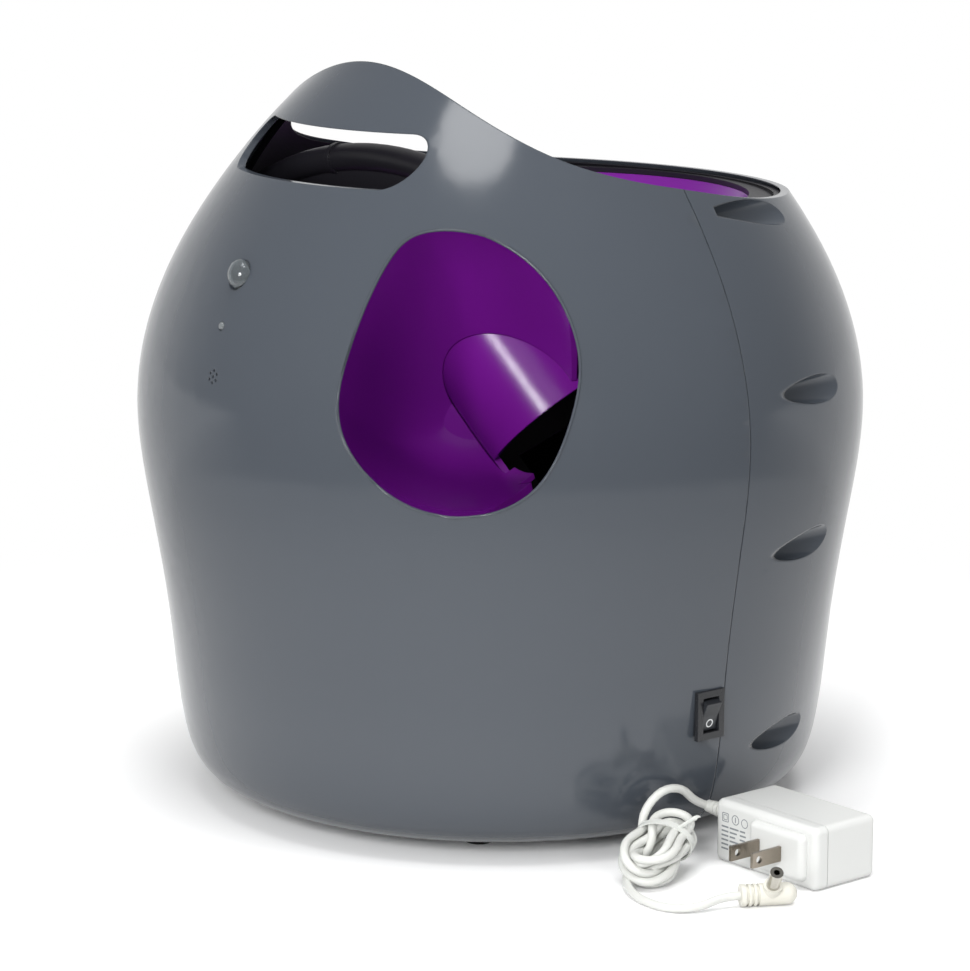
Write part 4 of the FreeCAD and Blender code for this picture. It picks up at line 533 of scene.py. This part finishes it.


# ---------------------------------------------------------------- black mouldings
# Hopper collar and ball pocket in black ABS, and the hidden frames of the launch unit and the
# battery box in black glass-filled nylon, all with a fine spark-eroded texture. The pocket's black
# is pushed darker than real black plastic: painted shade for the unlit inside behind the tube's mouth.
collar_abs = plastic("ABS, fine textured black", "#1d1c21", 0.42, 0.0009, 0.00003, shade=0.08, edge=0.0006)
# Painted shade: black ABS pushed to near black, so the pocket and the sounder behind its holes stay dark as
# unlit recesses.
pocket_black_and_painted_shade = plastic("ABS, matt black, darkened as painted shade", "#08080a", 0.50, 0.0008, 0.00003, shade=0.08)
frame_nylon = plastic("Nylon, glass filled, black", "#151517", 0.55, 0.0007, 0.00004, shade=0.15, edge=0.0004)
finish_node("hopper_collar", collar_abs)
finish_node("launch_pocket", pocket_black_and_painted_shade)
for name in ("launch_cradle", "lever_hinge", "battery_box", "ball_switch"):
    finish_node(name, frame_nylon)


# ---------------------------------------------------------------- motion sensor and status light
# Faceted lens of milky polycarbonate over the sensor's metal can, a clear epoxy status light and
# the black sounder behind the seven small holes, in the pocket's near-black with painted shade.
def moulded_lens(name, colour, clear, facet, rough):
    """Light-passing plastic with small lens facets moulded in."""
    material, tree = new_material(name)
    place = add(tree, "ShaderNodeTexCoord").outputs["Object"]
    facets = add(tree, "ShaderNodeTexVoronoi", {"Vector": place, "Scale": 1 / facet, "Randomness": 0.15})
    bump = add(tree, "ShaderNodeBump", {"Height": facets.outputs["Distance"], "Strength": 0.35,
                                        "Distance": facet * 0.25})
    cloud = add(tree, "ShaderNodeTexNoise", {"Vector": place, "Scale": 400.0})
    milky = add(tree, "ShaderNodeMapRange", {"Value": cloud.outputs["Fac"], "To Min": rough * 0.8,
                                             "To Max": rough * 1.2})
    skin = add(tree, "ShaderNodeBsdfPrincipled", {"Base Color": linear(colour), "Roughness": milky.outputs[0],
                                                  "IOR": 1.58, "Transmission Weight": clear,
                                                  "Normal": bump.outputs[0]})
    add(tree, "ShaderNodeOutputMaterial", {"Surface": skin.outputs[0]})
    return material


finish_node("sensor_lens", moulded_lens("Polycarbonate lens, milky", "#8f979c", 0.8, 0.0011, 0.03))
finish_node("status_light", moulded_lens("Epoxy, water clear", "#aeb4b7", 0.7, 0.0010, 0.05))


def metal(name, colour, rough, grain, depth, across=1.0):
    """Bare or plated metal: uneven polish and fine marks; across over 1 stretches them into brush lines."""
    material, tree = new_material(name)
    place = add(tree, "ShaderNodeTexCoord").outputs["Object"]
    stretched = add(tree, "ShaderNodeMapping", {"Vector": place, "Scale": (1.0, across, across)})
    marks = add(tree, "ShaderNodeTexNoise", {"Vector": stretched.outputs[0], "Scale": 1 / grain,
                                             "Detail": 5.0})
    dull = add(tree, "ShaderNodeMapRange", {"Value": marks.outputs["Fac"], "From Min": 0.3, "From Max": 0.7,
                                            "To Min": rough * 0.75, "To Max": rough * 1.3})
    base = linear(colour)
    worn = tuple(c * 0.82 for c in base[:3]) + (1,)
    tint = add(tree, "ShaderNodeMix", {"Factor": marks.outputs["Fac"], 6: worn, 7: base}, data_type="RGBA")
    bump = add(tree, "ShaderNodeBump", {"Height": marks.outputs["Fac"], "Strength": 1.0, "Distance": depth})
    skin = add(tree, "ShaderNodeBsdfPrincipled", {"Base Color": tint.outputs[2], "Metallic": 1.0,
                                                  "Roughness": dull.outputs[0], "Normal": bump.outputs[0]})
    add(tree, "ShaderNodeOutputMaterial", {"Surface": skin.outputs[0]})
    return material


# Nickel plate over steel: a warm, slightly yellow grey.
plated_can = metal("Steel can, nickel plated", "#b4b1aa", 0.25, 0.002, 0.000004)
finish_node("sensor_element", plated_can)
finish_node("buzzer", pocket_black_and_painted_shade)


# ---------------------------------------------------------------- control board
# Glass-fibre laminate under green solder mask, 1.6 mm thick, with black components soldered on it.
def circuit_board(name, node, along_y, low, high):
    """Solder mask on the board itself, black moulded components on either side of it."""
    material, tree = new_material(name)
    place = add(tree, "ShaderNodeTexCoord").outputs["Object"]
    parts = add(tree, "ShaderNodeSeparateXYZ", {0: place})
    depth = parts.outputs["Y" if along_y else "Z"]
    above = add(tree, "ShaderNodeMath", {0: depth, 1: low}, operation="GREATER_THAN")
    below = add(tree, "ShaderNodeMath", {0: depth, 1: high}, operation="LESS_THAN")
    board = add(tree, "ShaderNodeMath", {0: above.outputs[0], 1: below.outputs[0]}, operation="MULTIPLY")
    tracks = add(tree, "ShaderNodeTexVoronoi", {"Vector": place, "Scale": 260.0}, distance="MANHATTAN")
    mask = add(tree, "ShaderNodeMix", {"Factor": tracks.outputs["Distance"], 6: linear("#0d4a26"),
                                       7: linear("#1b6b39")}, data_type="RGBA")
    both = add(tree, "ShaderNodeMix", {"Factor": board.outputs[0], 6: linear("#1a1a1c"), 7: mask.outputs[2]},
               data_type="RGBA")
    bump = add(tree, "ShaderNodeBump", {"Height": tracks.outputs["Distance"], "Strength": 0.4,
                                        "Distance": 0.00004})
    shine = add(tree, "ShaderNodeMapRange", {"Value": tracks.outputs["Distance"], "To Min": 0.30,
                                             "To Max": 0.42})
    skin = add(tree, "ShaderNodeBsdfPrincipled", {"Base Color": both.outputs[2],
                                                  "Roughness": shine.outputs[0],
                                                  "Normal": bump.outputs[0]})
    add(tree, "ShaderNodeOutputMaterial", {"Surface": skin.outputs[0]})
    return finish_node(node, material)


BOARD_THICK = 1.6 * MM
board_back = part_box("control_board")[0][1]
circuit_board("Glass-fibre laminate, green mask", "control_board", True, board_back - 1e-5,
              board_back + BOARD_THICK + 1e-5)
adapter_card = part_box("adapter_board")[0][2] + 2 * MM
circuit_board("Paper laminate, green mask", "adapter_board", False, adapter_card - 1e-5,
              adapter_card + BOARD_THICK + 1e-5)


# ---------------------------------------------------------------- power switch
# Snap-in rocker switch of glossy black nylon, with the I and O marks printed in white.
switch_nylon = plastic("Nylon, glossy black", "#232427", 0.25, 0.0012, 0.00001, shade=0.06, edge=0.0004)
rocker_nylon = plastic("Nylon, satin black rocker", "#2b2d31", 0.32, 0.0010, 0.00001, shade=0.06, edge=0.0005)
mark_ink = plastic("Printing ink, white", "#d9dbdc", 0.55, 0.0004, 0.000004, shade=0.04)
finish_node("switch_housing", switch_nylon)
finish_node("switch_rocker", rocker_nylon)

rocker_low, rocker_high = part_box("switch_rocker")
ROCKER_CREST = 3.4 * MM
MARK_DEPTH = 0.08 * MM
pivot_z = (rocker_low[2] + rocker_high[2]) / 2
rocker_y = (rocker_low[1] + rocker_high[1]) / 2
face_x = rocker_high[0] - ROCKER_CREST


def printed(name, middle, right, up, outline_sets, body, material, thick=MARK_DEPTH):
    """Flat marks of ink: each outline is a closed band of inner and outer points, or a bar."""
    outward = right.cross(up)
    points, faces = [], []
    for outer, inner in outline_sets:
        base = len(points)
        count = len(outer)
        for edge, lift in ((outer, 0.0), (outer, thick), (inner, thick), (inner, 0.0)):
            points += [middle + right * u + up * w + outward * (lift - thick * 0.3) for u, w in edge]
        for row in range(4):
            for k in range(count):
                n = (k + 1) % count
                here, there = base + row * count, base + (row + 1) % 4 * count
                faces.append((here + k, here + n, there + n, there + k))
    piece = solid_mesh(name, points, faces, material)
    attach(piece, body)
    return piece


def loop_outline(half_wide, half_high, power, count, at=(0.0, 0.0)):
    """Points of a rounded outline: power 1 is an ellipse, lower powers are squarer."""
    points = []
    for k in range(count):
        a = 2 * math.pi * (k + 0.5) / count
        c, s = math.cos(a), math.sin(a)
        points.append((at[0] + half_wide * math.copysign(abs(c) ** power, c),
                       at[1] + half_high * math.copysign(abs(s) ** power, s)))
    return points


def ring_mark(half, line, count=32, power=1.0, at=(0.0, 0.0)):
    """A ring whose line is as thick as given."""
    return (loop_outline(half, half, power, count, at),
            loop_outline(half - line, half - line, power, count, at))


def bar_mark(wide, tall, at=(0.0, 0.0)):
    """A filled bar: its inner outline is almost closed."""
    return (loop_outline(wide / 2, tall / 2, 0.2, 16, at),
            loop_outline(wide * 0.02, tall * 0.02, 0.2, 16, at))


lower_face = Vector((6.6, 0, -1.5)).normalized()
upper_face = Vector((5.7, 0, -2.5)).normalized()
sideways = Vector((0, 1, 0))
printed("rocker_mark_off", Vector((face_x + 0.15 * MM, rocker_y, pivot_z - 3.5 * MM)), sideways,
        lower_face.cross(sideways), [ring_mark(1.9 * MM, 0.5 * MM)], "rocker", mark_ink)
printed("rocker_mark_on", Vector((face_x + 2.0 * MM, rocker_y, pivot_z + 2.6 * MM)), sideways,
        upper_face.cross(sideways), [bar_mark(0.55 * MM, 3.2 * MM)], "rocker", mark_ink)


# ---------------------------------------------------------------- distance dial
# Purple ABS knob on the rear with a white pointer, and the numerals 1 to 9 printed round it.
# Its sensor sits behind the wall on an aluminium spindle.
dial_abs = plastic("ABS, satin purple", "#4d0a5f", 0.34, 0.0012, 0.00002, shade=0.05, edge=0.0005)
turned_aluminium = metal("Aluminium, turned", "#c4c6c9", 0.28, 0.0006, 0.000003, across=6.0)
finish_node("distance_dial", dial_abs)
finish_node("dial_spindle", turned_aluminium)
finish_node("dial_sensor", plated_can)
finish_node("power_jack", switch_nylon)

dial_low, dial_high = (Vector(corner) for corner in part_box("distance_dial"))
dial_middle = (dial_low + dial_high) / 2
leftwards = Vector((-1, 0, 0))
skywards = Vector((0, 0, 1))
printed("dial_pointer", Vector((dial_middle.x, dial_high.y - 0.55 * MM, dial_middle.z + 11 * MM)),
        leftwards, skywards, [bar_mark(1.1 * MM, 9.6 * MM)], "dial", mark_ink, thick=0.25 * MM)

NUMERAL_R, NUMERAL_HIGH = 29 * MM, 5.2 * MM
rear_wall = BVHTree.FromObject(launcher["rear_shell"], bpy.context.evaluated_depsgraph_get())
numerals = bmesh.new()
for number in range(1, 10):
    around_dial = math.radians(90 - 270 * (number - 1) / 8)
    x = dial_middle.x - NUMERAL_R * math.cos(around_dial)
    z = dial_middle.z + NUMERAL_R * math.sin(around_dial)
    hit, normal = rear_wall.ray_cast(Vector((x, 0.4, z)), Vector((0, -1, 0)))[:2]
    text = bpy.data.curves.new("numeral", "FONT")
    text.body, text.size, text.extrude = str(number), NUMERAL_HIGH, MARK_DEPTH / 2
    text.align_x, text.align_y = "CENTER", "CENTER"
    glyph = bpy.data.objects.new("numeral", text)
    scene.collection.objects.link(glyph)
    shape = bpy.data.meshes.new_from_object(glyph.evaluated_get(bpy.context.evaluated_depsgraph_get()))
    across = skywards.cross(normal).normalized()
    upright = normal.cross(across)
    shape.transform(Matrix.Translation(hit) @ Matrix((across, upright, normal)).transposed().to_4x4())
    numerals.from_mesh(shape)
    bpy.data.objects.remove(glyph)
    bpy.data.meshes.remove(shape)
    bpy.data.curves.remove(text)
numeral_mesh = bpy.data.meshes.new("dial_numerals")
bmesh.ops.remove_doubles(numerals, verts=numerals.verts, dist=1e-7)
bmesh.ops.recalc_face_normals(numerals, faces=numerals.faces)
numerals.to_mesh(numeral_mesh)
numerals.free()
numeral_mesh.materials.append(mark_ink)
numeral_piece = bpy.data.objects.new("dial_numerals", numeral_mesh)
scene.collection.objects.link(numeral_piece)
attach(numeral_piece, "housing")


# ---------------------------------------------------------------- screws
# Zinc-plated steel screws. The eight in the rear wells have pan heads with a cross recess.
zinc_plate = metal("Steel, bright zinc plated", "#a9abb0", 0.32, 0.0015, 0.000006)
for name in ("board_screws", "motor_screws", "stand_screws", "base_screws"):
    finish_node(name, zinc_plate)

SCREW_LEVELS = [266 * MM, 194 * MM, 127 * MM, 42 * MM]
HEAD_R, HEAD_HIGH, SHANK_R = 3.6 * MM, 2.6 * MM, 1.5 * MM
screw_points = [v.co for v in launcher["shell_screws"].data.vertices]
screw_foot = min(p.y for p in screw_points)
screw_top = max(p.y for p in screw_points)
screw_places = []
for level in SCREW_LEVELS:
    for side in (1, -1):
        its = [p.x for p in screw_points if abs(p.z - level) < 2 * HEAD_R and p.x * side > 0]
        screw_places.append(((min(its) + max(its)) / 2, screw_top - HEAD_HIGH, level))


def pan_head_screw():
    """One screw along Y, its head's seat at the origin: a turned profile with a cross cut into it."""
    tip = screw_foot - screw_top + HEAD_HIGH
    profile = [(0, tip), (SHANK_R, tip + SHANK_R),
               (SHANK_R, 0), (HEAD_R, 0), (HEAD_R, HEAD_HIGH * 0.45)]
    profile += [(HEAD_R * math.cos(a), HEAD_HIGH * (0.45 + 0.55 * math.sin(a))) for a in (0.3, 0.6, 0.9, 1.2)]
    profile.append((0, HEAD_HIGH))
    rings = []
    for k in range(40):
        a = 2 * math.pi * k / 40
        rings.append([(r * math.cos(a), y, r * math.sin(a)) for r, y in profile])
    points, faces = [], []
    for k, ring in enumerate(rings):
        points += ring
        here, there = k * len(profile), (k + 1) % 40 * len(profile)
        for c in range(len(profile) - 1):
            faces.append((here + c, here + c + 1, there + c + 1, there + c))
    screw = solid_mesh("screw_blank", points, faces, zinc_plate)
    slots = []
    for wide, tall in ((4.4 * MM, 0.95 * MM), (0.95 * MM, 4.4 * MM)):
        corners = [(u * wide / 2, y, w * tall / 2) for y in (HEAD_HIGH * 0.42, HEAD_HIGH * 1.2)
                   for u, w in ((-1, -1), (1, -1), (1, 1), (-1, 1))]
        sides = [(0, 1, 2, 3), (4, 5, 6, 7), (0, 1, 5, 4), (1, 2, 6, 5), (2, 3, 7, 6), (3, 0, 4, 7)]
        slots.append(solid_mesh("cross_slot", corners, sides, zinc_plate))
    for slot in slots:
        cut = screw.modifiers.new("cross", "BOOLEAN")
        cut.operation, cut.solver, cut.object = "DIFFERENCE", "EXACT", slot
    carved = bpy.data.meshes.new_from_object(screw.evaluated_get(bpy.context.evaluated_depsgraph_get()))
    for slot in slots:
        bpy.data.objects.remove(slot)
    screw.modifiers.clear()
    screw.data = carved
    return screw


def repeat_tree():
    """Geometry nodes: one object at each point, each turned at random about its own Y axis."""
    tree = bpy.data.node_groups.new("Screws in their wells", "GeometryNodeTree")
    for name, kind in (("Places", "NodeSocketGeometry"), ("Screw", "NodeSocketObject"),
                       ("Seed", "NodeSocketInt"), ("Finish", "NodeSocketMaterial")):
        tree.interface.new_socket(name, in_out="INPUT", socket_type=kind)
    tree.interface.new_socket("Screws", in_out="OUTPUT", socket_type="NodeSocketGeometry")
    given = add(tree, "NodeGroupInput").outputs
    single = add(tree, "GeometryNodeObjectInfo", {"Object": given["Screw"], "As Instance": True})
    spin = add(tree, "FunctionNodeRandomValue", {"Seed": given["Seed"]}, data_type="FLOAT")
    angle = add(tree, "ShaderNodeMath", {0: spin.outputs[1], 1: 2 * math.pi}, operation="MULTIPLY")
    about = add(tree, "ShaderNodeCombineXYZ", {"Y": angle.outputs[0]})
    placed = add(tree, "GeometryNodeInstanceOnPoints", {"Points": given["Places"],
                                                        "Instance": single.outputs["Geometry"],
                                                        "Rotation": about.outputs[0]})
    real = add(tree, "GeometryNodeRealizeInstances", {"Geometry": placed.outputs[0]})
    coated = add(tree, "GeometryNodeSetMaterial", {"Geometry": real.outputs[0], "Material": given["Finish"]})
    add(tree, "NodeGroupOutput", {"Screws": coated.outputs[0]})
    return tree


def baked_nodes(name, points, tree, values, body):
    """Run a geometry tree on points and keep the result as one plain mesh."""
    holder_mesh = bpy.data.meshes.new(name)
    holder_mesh.from_pydata(points, [], [])
    holder = bpy.data.objects.new(name, holder_mesh)
    scene.collection.objects.link(holder)
    nodes = holder.modifiers.new(name, "NODES")
    nodes.node_group = tree
    for socket in tree.interface.items_tree:
        if socket.in_out == "INPUT" and socket.name in values:
            nodes[socket.identifier] = values[socket.name]
    made = bpy.data.meshes.new_from_object(holder.evaluated_get(bpy.context.evaluated_depsgraph_get()))
    holder.modifiers.clear()
    holder.data = made
    bpy.data.meshes.remove(holder_mesh)
    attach(holder, body)
    return holder


blank = pan_head_screw()
screw_set = baked_nodes("rear_shell_screws", screw_places, repeat_tree(),
                        {"Screw": blank, "Seed": 7, "Finish": zinc_plate}, "housing")
bpy.data.objects.remove(blank)
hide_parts("shell_screws")


# ---------------------------------------------------------------- launch unit
# Behind the pocket: acetal gears and hammer with a rubber pad, steel shafts, a torsion spring and
# the drive motor in its steel can, on a cradle that tilts in a galvanised stand.
acetal = plastic("Acetal, natural white", "#d6d4cb", 0.38, 0.0015, 0.00001, shade=0.04, edge=0.0003)
ground_steel = metal("Steel, ground", "#9c9ea1", 0.22, 0.0008, 0.000003, across=8.0)
spring_steel = metal("Spring steel, oil dark", "#57585c", 0.30, 0.0008, 0.000003)
motor_steel = metal("Steel can, satin zinc", "#93959a", 0.36, 0.0010, 0.000005, across=4.0)
pinion_brass = metal("Brass, cut", "#b58e45", 0.30, 0.0010, 0.000004)
galvanised = metal("Steel sheet, galvanised", "#878b90", 0.45, 0.006, 0.000008)
for name in ("launch_hammer", "winder_gear", "ball_lever"):
    finish_node(name, acetal)
for name in ("hammer_shaft", "winder_shaft", "cradle_shaft"):
    finish_node(name, ground_steel)
finish_node("launch_spring", spring_steel)
finish_node("drive_motor", motor_steel)
finish_node("motor_pinion", pinion_brass)
finish_node("cradle_stand", galvanised)


# ---------------------------------------------------------------- base and battery compartment
# Dark ABS base plate on six rubber feet, with the hinged battery door and the nickel contacts.
base_abs = plastic("ABS, textured dark grey", "#2c2e31", 0.50, 0.0010, 0.00005, shade=0.06, edge=0.0005)
foot_rubber = plastic("Rubber, moulded black", "#161617", 0.75, 0.0006, 0.00004, shade=0.12)
contact_nickel = metal("Spring strip, nickel plated", "#bcb9b1", 0.20, 0.0009, 0.000003, across=5.0)
for name in ("base_plate", "battery_door"):
    finish_node(name, base_abs)
for name in ("rubber_feet", "hammer_pad"):
    finish_node(name, foot_rubber)
finish_node("battery_contacts", contact_nickel)


# ---------------------------------------------------------------- power adapter
# White polycarbonate case in two halves with flat nickel-plated blades. The rating panel beside
# the raised block carries only generic fine print: two approval-style shapes and lines of bars.
adapter_pc = plastic("Polycarbonate, satin white", "#d3d4d2", 0.36, 0.0011, 0.000015, shade=0.02, edge=0.0006)
blade_plate = metal("Brass blades, nickel plated", "#9d9488", 0.30, 0.0010, 0.000004, across=4.0)
panel_ink = plastic("Printing ink, grey", "#7b8084", 0.5, 0.0004, 0.000004, shade=0.08)
for name in ("adapter_cover", "adapter_case"):
    finish_node(name, adapter_pc)
finish_node("adapter_blades", blade_plate)
finish_node("lead_relief", lead_pvc)
finish_node("dc_plug", plastic("PVC plug moulding, warm white", "#d6d4ca", 0.40, 0.0012, 0.00003, shade=0.05,
                               edge=0.0004))
finish_node("dc_plug_barrel", contact_nickel)

cover_low = Vector(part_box("adapter_cover")[0])
COVER_FACE_IN = 3.2 * MM            # the raised block stands this far in front of the cover's face
panel_middle = Vector((cover_low.x + 12 * MM, cover_low.y + COVER_FACE_IN, cover_low.z + 13.5 * MM))
marks = [ring_mark(2.0 * MM, 0.35 * MM, 24, 0.25, (-5.5 * MM, 6.5 * MM)),
         ring_mark(1.2 * MM, 0.3 * MM, 24, 0.25, (-5.5 * MM, 6.5 * MM)),
         ring_mark(2.2 * MM, 0.4 * MM, 28, 1.0, (0.5 * MM, 6.5 * MM)),
         bar_mark(0.5 * MM, 2.4 * MM, (0.5 * MM, 6.5 * MM)),
         ring_mark(2.0 * MM, 0.35 * MM, 28, 1.0, (6.0 * MM, 6.2 * MM))]
for row in range(6):
    for start, wide in ((-7.8, 4.2), (-2.9, 5.4 - row % 3), (3.2, 3.2 + 0.5 * (row % 2))):
        marks.append(bar_mark(wide * MM, 0.75 * MM, ((start + wide / 2) * MM, (2.4 - 1.9 * row) * MM)))
printed("adapter_fine_print", panel_middle, Vector((1, 0, 0)), skywards, marks, "adapter", panel_ink,
        thick=0.05 * MM)
